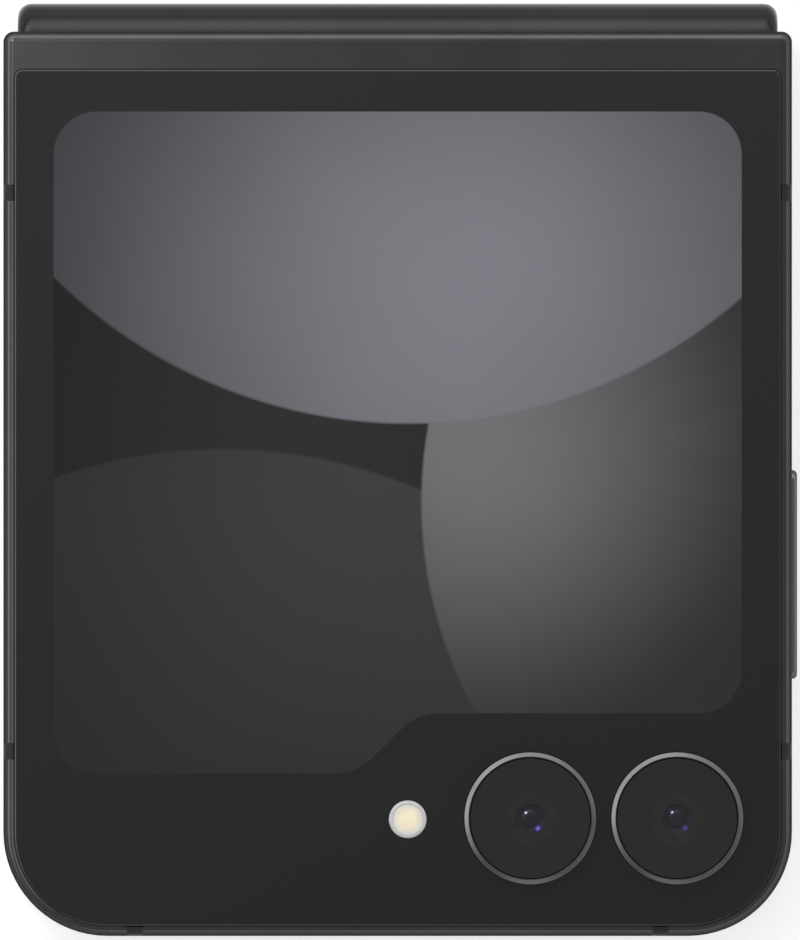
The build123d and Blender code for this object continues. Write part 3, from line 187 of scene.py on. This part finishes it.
def anodised_with_painted_shade(name, dark, light, rough, blotch, grain, relief, painted_wall_shade, **values):
    """Anodised metal with painted shade: its steep walls are painted darker than its faces, keeping the
    given share of their colour.
    """
    made = surface(name, dark, light, rough, blotch, grain, relief, Metallic=1.0, **values)
    tree = made.node_tree
    colour = tree.nodes["Principled BSDF"].inputs["Base Color"]
    normal = add(tree, "ShaderNodeTexCoord").outputs["Normal"]
    upright = calc(tree, "ABSOLUTE", add(tree, "ShaderNodeSeparateXYZ", {0: normal}).outputs[2])
    # painted shade: steep walls get a darker base colour in place of the shade and dimmer reflection they
    # get
    share = grey_from(tree, spread(tree, upright, painted_wall_shade, 1, 0.60, 0.76, True))
    tree.links.new(mix(tree, 1.0, colour.links[0].from_socket, share, "MULTIPLY"), colour)
    return made


def black_glass():
    """Glass printed black behind, with the faintest uneven polish, blotchy tone and a painted sheen that
    lightens it towards the upper left.
    """
    made, tree, shader = material("black_glass", Specular_IOR_Level=0.5)
    where = place(tree)
    parts = add(tree, "ShaderNodeSeparateXYZ", {0: where}).outputs
    # painted sheen: the tone rises towards the upper left, where the light is strongest, in place of
    # reflection
    run = calc(tree, "SUBTRACT", parts[1], calc(tree, "MULTIPLY", parts[0], 0.5))
    broad = calc(tree, "MULTIPLY_ADD", noise(tree, where, 26.0, 2.0), 12 * MM, run)
    tone = grey_from(tree, spread(tree, broad, 0.0060, 0.0170, -45 * MM, 55 * MM))
    tree.links.new(tone, shader.inputs["Base Color"])
    tree.links.new(spread(tree, noise(tree, where, 9.0, 4.0), 0.02, 0.05), shader.inputs["Roughness"])
    bump(tree, shader, noise(tree, where, 26.0, 2.0), 0.004)
    return made


def coated_glass(name, body, tint, rough, **values):
    """Dark lens glass, a little uneven, whose coating reflects in a tint."""
    made, tree, shader = material(name, Specular_IOR_Level=1.0, Specular_Tint=tint, **values)
    uneven = noise(tree, place(tree), 0.8)
    shades = [tuple(channel * share for channel in body) + (1,) for share in (0.9, 1.1)]
    tree.links.new(mix(tree, spread(tree, uneven, 0, 1), *shades), shader.inputs["Base Color"])
    tree.links.new(spread(tree, uneven, rough, rough * 1.3), shader.inputs["Roughness"])
    return made


def flash_resin():
    """The flash's diffuser: warm phosphor in the middle, clear resin towards its rim."""
    made, tree, shader = material("flash_resin", Roughness=0.3, Coat_Weight=0.3)
    where = add(tree, "ShaderNodeTexCoord").outputs["Object"]
    centre = tuple(value * MM for value in FLASH) + (0.0,)
    off = add(tree, "ShaderNodeVectorMath", {0: where, 1: centre}, operation="SUBTRACT").outputs[0]
    parts = add(tree, "ShaderNodeSeparateXYZ", {0: off}).outputs
    across = calc(tree, "POWER", calc(tree, "ABSOLUTE", parts[0]), 3.0)
    along = calc(tree, "POWER", calc(tree, "ABSOLUTE", parts[1]), 3.0)
    far = calc(tree, "POWER", calc(tree, "ADD", across, along), 1 / 3)
    edge = spread(tree, far, 0, 1, 0.55 * MM, 1.45 * MM, True)
    warm = spread(tree, noise(tree, where, 0.5), 0, 1)
    phosphor = mix(tree, warm, (0.97, 0.86, 0.61, 1), (1.0, 0.91, 0.70, 1))
    tree.links.new(mix(tree, edge, phosphor, (0.74, 0.72, 0.68, 1)), shader.inputs["Base Color"])
    return made


def circuit_board():
    """Solder mask with fine tracks pressed through it."""
    made, tree, shader = material("circuit_board", Roughness=0.42, Coat_Weight=0.2)
    where = place(tree)
    cells = add(
        tree,
        "ShaderNodeTexVoronoi",
        {"Vector": where, "Scale": 1 / (1.1 * MM)},
        distance="CHEBYCHEV",
        feature="F1",
    ).outputs["Distance"]
    track = spread(tree, cells, 0, 1, 0.32, 0.36)
    colour = mix(tree, track, (0.006, 0.020, 0.014, 1), (0.012, 0.042, 0.026, 1))
    tree.links.new(colour, shader.inputs["Base Color"])
    bump(tree, shader, track, 0.02)
    return made


def stamped(name, dark, light, rough, pitch):
    """Rolled or wound metal, with lines along it."""
    made, tree, shader = material(name, Metallic=1.0)
    where = place(tree, (1, 14, 14))
    lines = noise(tree, where, pitch, 3.0)
    tree.links.new(mix(tree, spread(tree, lines, 0, 1), dark, light), shader.inputs["Base Color"])
    tree.links.new(spread(tree, lines, rough[0], rough[1]), shader.inputs["Roughness"])
    bump(tree, shader, lines, 0.004)
    return made


# surface() and the anodised metal maker take, after the name: two tones, the range of roughness, the
# sizes of the blotches and of the grain, and the grain's depth, all in millimetres; the metal maker
# adds the share of colour that steep walls keep, which paints shade on them.
finish = {
    "frame_metal": anodised_with_painted_shade(
        "frame_metal",
        grey(0.080),
        grey(0.094),
        (0.20, 0.27),
        14.0,
        0.09,
        0.0012,
        0.36,
        Specular_Tint=grey(0.5),
    ),
    "spine_metal": anodised_with_painted_shade(
        "spine_metal",
        grey(0.036),
        grey(0.042),
        (0.15, 0.21),
        18.0,
        0.12,
        0.0008,
        0.7,
        Specular_Tint=grey(0.85),
    ),
    "key_metal": anodised_with_painted_shade("key_metal", grey(0.17), grey(0.19), (0.16, 0.22), 4.0, 0.08, 0.0008, 0.28),
    "ring_metal": surface(
        "ring_metal", grey(0.12), grey(0.15), (0.15, 0.20), 3.0, 0.08, 0.0006, Metallic=1.0
    ),
    "black_glass": black_glass(),
    "picture": wallpaper(),
    "band_plastic": surface(
        "band_plastic",
        grey(0.013),
        grey(0.018),
        (0.42, 0.55),
        2.0,
        0.12,
        0.004,
        Specular_IOR_Level=0.3,
    ),
    "display": surface(
        "folding_display",
        (0.0035, 0.0035, 0.0040, 1),
        (0.0055, 0.0055, 0.0062, 1),
        (0.06, 0.11),
        22.0,
        1.6,
        0.0012,
        Specular_IOR_Level=0.5,
    ),
    "bezel_plastic": surface(
        "bezel_plastic", grey(0.008), grey(0.013), (0.48, 0.6), 6.0, 0.14, 0.006
    ),
    "black_plastic": surface(
        "black_plastic", grey(0.013), grey(0.022), (0.45, 0.6), 3.0, 0.2, 0.008
    ),
    "bumper_rubber": surface(
        "bumper_rubber", grey(0.020), grey(0.030), (0.7, 0.85), 0.6, 0.1, 0.006
    ),
    "steel": stamped("steel", grey(0.42), grey(0.58), (0.22, 0.36), 3.0),
    "copper": stamped("copper", (0.50, 0.20, 0.09, 1), (0.74, 0.36, 0.20, 1), (0.25, 0.4), 4.0),
    "battery_foil": surface(
        "battery_foil", grey(0.030), grey(0.045), (0.32, 0.5), 12.0, 0.9, 0.02, Metallic=0.6
    ),
    "ribbon": surface(
        "ribbon",
        (0.13, 0.050, 0.010, 1),
        (0.20, 0.085, 0.018, 1),
        (0.3, 0.42),
        2.0,
        0.4,
        0.006,
        stretch=(1, 0.1, 0.1),
    ),
    "circuit_board": circuit_board(),
    "flash_resin": flash_resin(),
    "glass_edge": surface(
        "glass_edge", grey(0.012), grey(0.020), (0.10, 0.18), 3.0, 0.2, 0.001, Specular_IOR_Level=0.55
    ),
    "flash_rim": surface("flash_rim", grey(0.54), grey(0.62), (0.3, 0.4), 0.6, 0.06, 0.003),
    "lens_print": surface(
        "lens_print", grey(0.0108), grey(0.0130), (0.03, 0.05), 4.0, 0.5, 0.0, Specular_IOR_Level=0.5
    ),
    "lens_barrel": surface(
        "lens_barrel", grey(0.012), grey(0.016), (0.10, 0.16), 0.8, 0.05, 0.001
    ),
    "lens_front": coated_glass(
        "lens_front",
        (0.0070, 0.0070, 0.0040),
        (0.08, 0.10, 0.30, 1),
        0.20,
        Coat_Weight=1.0,
        Coat_Roughness=0.025,
    ),
    "lens_wide": coated_glass(
        "lens_wide",
        (0.0065, 0.0070, 0.0040),
        (0.14, 0.12, 0.34, 1),
        0.16,
        Coat_Weight=1.0,
        Coat_Roughness=0.07,
    ),
    "lens_inner": coated_glass(
        "lens_inner", (0.0255, 0.0265, 0.0065), (0.13, 0.10, 0.60, 1), 0.13
    ),
}
given = {
    "frame_metal": "base_frame lid_frame",
    "key_metal": "volume_key side_key card_tray",
    "ring_metal": "camera_rings",
    "spine_metal": "spine_cover",
    "black_glass": "base_back_glass cover_glass camera_lenses",
    "display": "base_display lid_display fold_display cover_display",
    "band_plastic": "base_antenna_bands lid_antenna_bands",
    "bezel_plastic": "base_bezel lid_bezel",
    "bumper_rubber": "lid_bumpers",
    "black_plastic": (
        "base_inner_cover loudspeaker bottom_microphone earpiece camera_modules front_camera card_reader"
    ),
    "battery_foil": "base_battery lid_battery",
    "circuit_board": "base_lower_board main_board",
    "copper": "wireless_charging_coil heat_spreader",
    "ribbon": "hinge_cable",
    "flash_resin": "flash_lens flash_led",
}
finish_of = {name: key for key, names in given.items() for name in names.split()}
for name, thing in nodes.items():
    thing.data.materials.clear()
    thing.data.materials.append(finish[finish_of.get(name, "steel")])


# --- Mesh helpers ---------------------------------------------------------------------------------
def thing_from(name, mesh_maker, materials, body, sharp=28):
    """An object from a function that fills a bmesh in millimetres."""
    mesh = bmesh.new()
    mesh_maker(mesh)
    bmesh.ops.recalc_face_normals(mesh, faces=mesh.faces)
    bmesh.ops.scale(mesh, vec=(MM, MM, MM), verts=mesh.verts)
    data = bpy.data.meshes.new(name)
    mesh.to_mesh(data)
    mesh.free()
    data.shade_smooth()
    data.set_sharp_from_angle(angle=radians(sharp))
    for key in materials:
        data.materials.append(finish[key])
    made = bpy.data.objects.new(name, data)
    bpy.context.scene.collection.objects.link(made)
    if body:
        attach(made, body)
    return made


def rounded(corners, radii, steps=14):
    """A closed outline with its corners rounded, as a list of points."""
    points = []
    for index, (x, y) in enumerate(corners):
        here = Vector((x, y))
        before = (Vector(corners[index - 1]) - here).normalized()
        after = (Vector(corners[(index + 1) % len(corners)]) - here).normalized()
        half = before.angle(after) / 2
        reach = radii[index] / cos(pi / 2 - half) * cos(half)
        centre = here + (before + after).normalized() * (radii[index] / sin(half))
        start, end = here + before * reach - centre, here + after * reach - centre
        turn = start.angle_signed(end)
        for step in range(steps + 1):
            angle = -turn * step / steps
            points.append(
                (
                    centre.x + start.x * cos(angle) - start.y * sin(angle),
                    centre.y + start.x * sin(angle) + start.y * cos(angle),
                )
            )
    return points


def ring_points(x, y, radius, count=96):
    """The points of a circle."""
    return [
        (x + radius * cos(2 * pi * i / count), y + radius * sin(2 * pi * i / count))
        for i in range(count)
    ]


def loop(mesh, points, z):
    """A closed loop of vertices and its edges."""
    verts = [mesh.verts.new((x, y, z)) for x, y in points]
    edges = [mesh.edges.new((verts[i - 1], verts[i])) for i in range(len(verts))]
    return verts, edges


def wall(mesh, first, second, slot):
    """Faces between two loops of the same count."""
    for i in range(len(first)):
        face = mesh.faces.new((first[i - 1], first[i], second[i], second[i - 1]))
        face.material_index = slot


def fill(mesh, edges, slot):
    """Flat faces inside a set of loops, with the inner loops left open."""
    made = bmesh.ops.triangle_fill(mesh, use_beauty=True, edges=edges)
    for face in made["geom"]:
        if isinstance(face, bmesh.types.BMFace):
            face.material_index = slot


def lathe(profile, x, y, count=128):
    """A mesh maker that turns (radius, z, slot) points about the upright line at x, y."""

    def make(mesh):
        loops = []
        for radius, z, _ in profile:
            if radius == 0:
                loops.append([mesh.verts.new((x, y, z))])
            else:
                loops.append([mesh.verts.new((*p, z)) for p in ring_points(x, y, radius, count)])
        for (near, far), (_, _, slot) in zip(zip(loops, loops[1:]), profile[1:]):
            for i in range(count):
                ends = [near[i - 1], near[i]] if len(near) > 1 else [near[0]]
                ends += [far[i], far[i - 1]] if len(far) > 1 else [far[0]]
                mesh.faces.new(ends).material_index = slot

    return make


# --- Cover glass ----------------------------------------------------------------------------------
GLASS_SIDE, GLASS_FOOT, GLASS_END = 34.93, -41.63, 36.43
GLASS_FOOT_RADIUS, GLASS_END_RADIUS = 8.48, 0.75
GLASS_CHAMFER = 0.1
CORNER_STEPS = 24
CAMERA_HOLE, FLASH_HOLE = 6.07, 1.77


def glass_outline(inset):
    """The edge of the cover glass, drawn in by inset."""
    side, foot, end = GLASS_SIDE - inset, GLASS_FOOT + inset, GLASS_END - inset
    corners = [(-side, foot), (side, foot), (side, end), (-side, end)]
    radii = [GLASS_FOOT_RADIUS - inset] * 2 + [GLASS_END_RADIUS - inset] * 2
    return rounded(corners, radii, CORNER_STEPS)


def window_outline():
    """The lit part of the cover display, stepped up over the cameras."""
    side, top, low, step = 31.35, 32.6, -27.7, -22.24
    slope_start, slope_end = -3.68, 1.78
    corners = [(-side, low), (slope_start, low), (slope_end, step), (side, step), (side, top), (-side, top)]
    corner, bend = 3.9, 4.85
    return rounded(corners, [corner, bend, bend, corner, corner, corner], CORNER_STEPS)


def cover_glass(mesh):
    """Printed glass with a chamfered edge, a window for the display and holes for the cameras."""
    printed, picture, edge = range(3)
    low = GLASS_TOP - GLASS_DEPTH
    face, face_edges = loop(mesh, glass_outline(GLASS_CHAMFER * 1.5), GLASS_TOP)
    slope, _ = loop(mesh, glass_outline(GLASS_CHAMFER * 0.4), GLASS_TOP - GLASS_CHAMFER * 0.55)
    shoulder, _ = loop(mesh, glass_outline(0), GLASS_TOP - GLASS_CHAMFER * 1.6)
    back, back_edges = loop(mesh, glass_outline(0), low)
    wall(mesh, face, slope, edge)
    wall(mesh, slope, shoulder, edge)
    wall(mesh, shoulder, back, edge)
    _, window_edges = loop(mesh, window_outline(), GLASS_TOP)
    for x, y, radius in [(*centre, CAMERA_HOLE) for centre in CAMERAS] + [(*FLASH, FLASH_HOLE)]:
        top_hole, top_edges = loop(mesh, ring_points(x, y, radius), GLASS_TOP)
        low_hole, low_edges = loop(mesh, ring_points(x, y, radius), low)
        wall(mesh, top_hole, low_hole, printed)
        face_edges += top_edges
        back_edges += low_edges
    fill(mesh, face_edges + window_edges, printed)
    fill(mesh, window_edges, picture)
    fill(mesh, back_edges, printed)


glass = thing_from(
    "cover_glass_printed",
    cover_glass,
    ["black_glass", "picture", "glass_edge"],
    "lid",
    sharp=20,
)
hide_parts("cover_glass")


# --- Cameras and flash ----------------------------------------------------------------------------
LENS_TOP = RING_TOP - 0.15
LENS_EDGE, LENS_EDGE_DEPTH, LENS_ROUNDING = 5.49, 0.5, 0.04
PRINT_EDGE = 2.50
BOWL_EDGE, BOWL_DEPTH = 1.32, 0.36
DOME_EDGE, DOME_RISE = 0.78, 0.26
BARREL_STEPS = [  # radius, depth under the top of the lens
    (2.48, 0.02),
    (2.38, 0.025),
    (2.36, 0.06),
    (1.70, 0.065),
    (1.68, 0.07),
    (BOWL_EDGE + 0.02, 0.075),
]
RING_PROFILE = [  # radius, height, material: wall, rounded shoulder, cone, rounded crown, lip
    (6.02, GLASS_TOP, 0),
    (6.02, 15.68, 0),
    (6.01, 15.705, 0),
    (5.985, 15.7225, 0),
    (5.965, 15.7325, 0),
    (5.645, 15.8925, 0),
    (5.635, 15.8975, 0),
    (5.625, RING_TOP, 0),
    (5.615, RING_TOP, 0),
    (5.59, 15.899, 0),
    (5.575, 15.893, 1),
    (5.555, 15.87, 1),
    (5.545, 15.83, 1),
    (5.54, 15.3, 1),
]


def lens_profile(dome_radius, bowl_radius, ridges):
    """A camera behind its window: printed border, stepped barrel, coated bowl and front element."""
    printed, barrel, front, inner = range(4)
    points = [
        (LENS_EDGE, LENS_TOP - LENS_EDGE_DEPTH, printed),
        (LENS_EDGE, LENS_TOP - LENS_ROUNDING, printed),
        (LENS_EDGE - LENS_ROUNDING, LENS_TOP, printed),
        (PRINT_EDGE, LENS_TOP, printed),
    ]
    points += [(radius, LENS_TOP - depth, barrel) for radius, depth in BARREL_STEPS]
    bowl_low = LENS_TOP - BOWL_DEPTH
    bowl_steps, dome_steps, ridge = 20, 12, 0.012
    for step in range(bowl_steps + 1):
        r = BOWL_EDGE + (DOME_EDGE - BOWL_EDGE) * step / bowl_steps
        z = bowl_low + bowl_radius - sqrt(bowl_radius**2 - r**2)
        if ridges and step % 4 == 2:
            points += [(r + ridge, z, inner), (r, z - ridge, barrel)]
        else:
            points.append((r, z, inner if step else barrel))
    for step in range(dome_steps + 1):
        r = DOME_EDGE * (1 - step / dome_steps)
        z = bowl_low + DOME_RISE - dome_radius + sqrt(dome_radius**2 - r**2)
        points.append((r, z, front))
    return points


lenses, rings = [], []
lens_kinds = [  # radii of the front element and of the bowl, whether it has ridges, coating
    (2.4, 4.4, False, "lens_front"),
    (2.7, 4.7, True, "lens_wide"),
]
for index, ((x, y), kind) in enumerate(zip(CAMERAS, lens_kinds), start=1):
    dome_radius, bowl_radius, ridges, coating = kind
    lenses.append(
        thing_from(
            f"camera_lens_{index}",
            lathe(lens_profile(dome_radius, bowl_radius, ridges), x, y),
            ["lens_print", "lens_barrel", coating, "lens_inner"],
            "lid",
            sharp=20,
        )
    )
    rings.append(
        thing_from(
            f"camera_ring_{index}",
            lathe(RING_PROFILE, x, y, 160),
            ["ring_metal", "lens_barrel"],
            "lid",
            sharp=50,
        )
    )
    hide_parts("camera_rings")
for lens in lenses:
    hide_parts("camera_lenses")

FLASH_RIM = [(1.72, 0.60), (1.72, 0.04), (1.68, 0), (1.40, 0), (1.36, 0.06)]  # radius, depth
FLASH_MIDDLE_DEPTH = 0.015
flash_profile = [(radius, GLASS_TOP - depth, 0) for radius, depth in FLASH_RIM]
for step in range(6):  # the diffuser's rings, which rise towards the middle
    r = 1.32 - 0.2 * step
    flash_profile.append((r, GLASS_TOP - 0.10 + 0.01 * step, 1))
    flash_profile.append((r - 0.1, GLASS_TOP - 0.05 + 0.006 * step, 1))
flash_profile.append((0, GLASS_TOP - FLASH_MIDDLE_DEPTH, 1))
flash = thing_from(
    "flash_window",
    lathe(flash_profile, *FLASH, 72),
    ["flash_rim", "flash_resin"],
    "lid",
    sharp=50,
)
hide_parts("flash_lens")


# --- Folding display and cable across the hinge ---------------------------------------------------
# Places here are (u, v), counted from a fold axis: u along +Y, v towards the middle of the phone.
FOLD_REACH = 8.0
FILM_FACE, FILM_BACK = 0.5, 0.1
FILM_SIDE = 34.25
FILM_STEPS = 72
BLEND_ANGLE = radians(35)
BLEND_START, BLEND_END = -1.5, 0.27
RIBBON_SIDE = 5.0
RIBBON_RADII = (2.52, 2.68)
RIBBON_REACH, RIBBON_BEND_U = 12.5, -0.3
RIBBON_BLEND = ((-2.4, -1.4), (2.3, 1.2))


def bend_share(u, v):
    along = u * cos(BLEND_ANGLE) + v * sin(BLEND_ANGLE)
    t = min(max((along - BLEND_START) / (BLEND_END - BLEND_START), 0), 1)
    return t * t * (3 - 2 * t)


def folded_place(s, height):
    """Where a point of the flat open display, s along it from the axis, lies when folded."""
    low, high, halvings = 0.0, pi / 2, 60
    for _ in range(halvings):
        angle = (low + high) / 2
        u, v = s * cos(angle) - height * sin(angle), s * sin(angle) + height * cos(angle)
        if bend_share(u, v) * pi / 2 > angle:
            low = angle
        else:
            high = angle
    return u, v


def hinge_place(x, u, v, flip):
    """A place at a fold axis in the CAD's frame; flip is -1 for the base's axis, 1 for the lid's."""
    return x, AXIS_Y + u, MIDDLE_Z + flip * (AXIS_OFFSET - v)


def strip(section, side, flip):
    """A mesh maker for a band of that closed section, from -side to side."""

    def make(mesh):
        columns = 12
        rows = []
        for column in range(columns + 1):
            x = side * (2 * column / columns - 1)
            rows.append([mesh.verts.new(hinge_place(x, u, v, flip)) for u, v in section])
        for near, far in zip(rows, rows[1:]):
            for i in range(len(section)):
                mesh.faces.new((near[i - 1], near[i], far[i], far[i - 1]))
        half = len(section) // 2
        for row in (rows[0], rows[-1]):
            for i in range(half - 1):
                mesh.faces.new((row[i], row[i + 1], row[-i - 2], row[-i - 1]))

    return make


def both_ways(name, section, side, finish_key, slot, start, end, node):
    """A band as two pieces that meet in the spine's middle, one for each axis."""
    for flip, bodies, label in ((-1, ("base", "spine"), "base"), (1, ("spine", "lid"), "lid")):
        piece = thing_from(
            f"{name}_{label}_side", strip(section, side, flip), [finish_key], None, 40
        )
        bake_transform(piece)
        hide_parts(node)


film_length = FOLD_REACH + AXIS_OFFSET
film_places = [-FOLD_REACH + film_length * (i / FILM_STEPS) for i in range(FILM_STEPS + 1)]
film = [folded_place(s, FILM_FACE) for s in film_places]
film += [folded_place(s, FILM_BACK) for s in reversed(film_places)]
film_start, film_end = (
    (along * cos(BLEND_ANGLE), along * sin(BLEND_ANGLE)) for along in (BLEND_START, BLEND_END)
)
both_ways(
    "folding_film", film, FILM_SIDE, "display", "display", film_start, film_end, "fold_display"
)


def ribbon_line(radius):
    """The ribbon's path at a distance from its bend's middle: straight, then a quarter turn."""
    run, turn = 16, 24
    straight = RIBBON_REACH + RIBBON_BEND_U
    line = [(-RIBBON_REACH + straight * i / run, AXIS_OFFSET - radius) for i in range(run)]
    for i in range(turn + 1):
        angle = -pi / 2 + pi / 2 * i / turn
        line.append((RIBBON_BEND_U + radius * cos(angle), AXIS_OFFSET + radius * sin(angle)))
    return line


inner_radius, outer_radius = RIBBON_RADII
cable = ribbon_line(inner_radius) + ribbon_line(outer_radius)[::-1]
both_ways("ribbon", cable, RIBBON_SIDE, "ribbon", "ribbon", *RIBBON_BLEND, "hinge_cable")


# --- Stage, light and camera ----------------------------------------------------------------------
FLOOR_REACH, FLOOR_DROP = 6000, 0.04
FLOOR_TONE = 0.62


def floor_material():
    """Pale paper: white to the camera and in reflections, with the shadow kept."""
    made, tree, shader = material("floor_paper", Base_Color=grey(FLOOR_TONE), Roughness=0.9)
    rays = add(tree, "ShaderNodeLightPath").outputs
    seen = calc(tree, "MAXIMUM", rays["Is Camera Ray"], rays["Is Glossy Ray"])
    seen = calc(tree, "MAXIMUM", seen, rays["Is Transmission Ray"])
    shader.inputs["Emission Color"].default_value = grey(1.0)
    tree.links.new(calc(tree, "MULTIPLY", seen, FLOOR_TONE), shader.inputs["Emission Strength"])
    grain = noise(tree, place(tree), 0.5, 3.0)
    bump(tree, shader, grain, 0.01)
    return made


floor_mesh = bpy.data.meshes.new("floor")
floor_corners = [(-1, -1), (1, -1), (1, 1), (-1, 1)]
floor_mesh.from_pydata(
    [Vector((x * FLOOR_REACH, y * FLOOR_REACH, -FLOOR_DROP)) * MM for x, y in floor_corners],
    [],
    [(0, 1, 2, 3)],
)
floor_mesh.materials.append(floor_material())
floor = bpy.data.objects.new("floor", floor_mesh)
bpy.context.scene.collection.objects.link(floor)


def weighted(tree, start, *terms):
    """A sum: start, and each value times its weight."""
    total = start
    for value, weight in terms:
        total = calc(tree, "MULTIPLY_ADD", value, weight, total)
    return total


def studio(tree):
    """How bright the studio is in each direction: a soft band all round, strongest up and left."""
    way = add(tree, "ShaderNodeSeparateXYZ", {0: add(tree, "ShaderNodeTexCoord").outputs["Generated"]})
    x, y, z = way.outputs
    left, right = calc(tree, "MINIMUM", x, 0.0), calc(tree, "MAXIMUM", x, 0.0)
    ahead = calc(tree, "MAXIMUM", y, 0.0)
    # the band: how high its middle is, how wide it is and how bright
    middle = weighted(tree, 0.48, (ahead, 0.09), (left, -0.17), (right, -0.07))
    width = weighted(tree, 0.165, (ahead, 0.11), (y, 0.08), (right, -0.04))
    peak = weighted(tree, 1.75, (ahead, -0.35), (y, 0.50), (x, -0.55))
    # less of it between the axes, at the upper right and the lower left
    across = calc(tree, "MAXIMUM", calc(tree, "MULTIPLY", x, y), 0.0)
    cut = calc(tree, "MULTIPLY", across, weighted(tree, 3.5, (calc(tree, "ADD", x, y), -1.4)))
    peak = calc(tree, "MAXIMUM", calc(tree, "SUBTRACT", peak, cut), 0.0)
    off = calc(tree, "DIVIDE", calc(tree, "SUBTRACT", z, middle), width)
    bell = calc(tree, "EXPONENT", calc(tree, "MULTIPLY", calc(tree, "MULTIPLY", off, off), -1.0))
    # the white horizon, and the even light that is everywhere
    haze = weighted(tree, 0.12, (ahead, 0.3))
    horizon = spread(tree, calc(tree, "ABSOLUTE", z), 1.0, 0.0, 0.02, haze)
    return calc(tree, "MAXIMUM", calc(tree, "MULTIPLY_ADD", bell, peak, 0.39), horizon)


world = bpy.data.worlds.new("studio")
bpy.context.scene.world = world
world.use_nodes = True
backdrop = world.node_tree.nodes["Background"]
backdrop.inputs["Color"].default_value = grey(1.0)
world.node_tree.links.new(studio(world.node_tree), backdrop.inputs["Strength"])


def lamp(name, location, size, radiance, shape):
    """A soft lamp at a place in millimetres, aimed at the phone and out of the camera's sight."""
    data = bpy.data.lights.new(name, "AREA")
    data.shape = shape
    data.size, data.size_y = size[0] * MM, size[1] * MM
    filled = pi / 4 if shape == "ELLIPSE" else 1
    data.energy = radiance * pi * data.size * data.size_y * filled
    made = bpy.data.objects.new(name, data)
    made.location = Vector(location) * MM
    if shape == "ELLIPSE":
        made.rotation_euler = Vector(location).to_track_quat("Z", "Y").to_euler()
    else:
        made.rotation_euler = (0, atan2(location[0], location[2]), 0)
    made.visible_camera = False
    bpy.context.scene.collection.objects.link(made)
    return made


lamp("key", (-175, 209, 535), (105, 105), 15.0, "ELLIPSE")
# this lamp lights only the metal, where it gives the left walls and rims their highlight
left_fill = lamp("left_fill", (-76, 10, 250), (60, 200), 1.2, "RECTANGLE")
metalwork = bpy.data.collections.new("metalwork")
for name in ("lid_frame", "base_frame", "spine_cover", "side_key", "card_tray"):
    metalwork.objects.link(nodes[name])
left_fill.light_linking.receiver_collection = metalwork

CAMERA_PLACE = (0.214, -0.068, 2394.4)
camera_data = bpy.data.cameras.new("camera")
camera_data.lens = 1000
camera_data.sensor_width = 36
camera_data.clip_start = 0.1
camera_data.clip_end = 20
camera = bpy.data.objects.new("camera", camera_data)
camera.location = [value * MM for value in CAMERA_PLACE]
bpy.context.scene.collection.objects.link(camera)
bpy.context.scene.camera = camera
bpy.context.scene.view_settings.view_transform = "Standard"
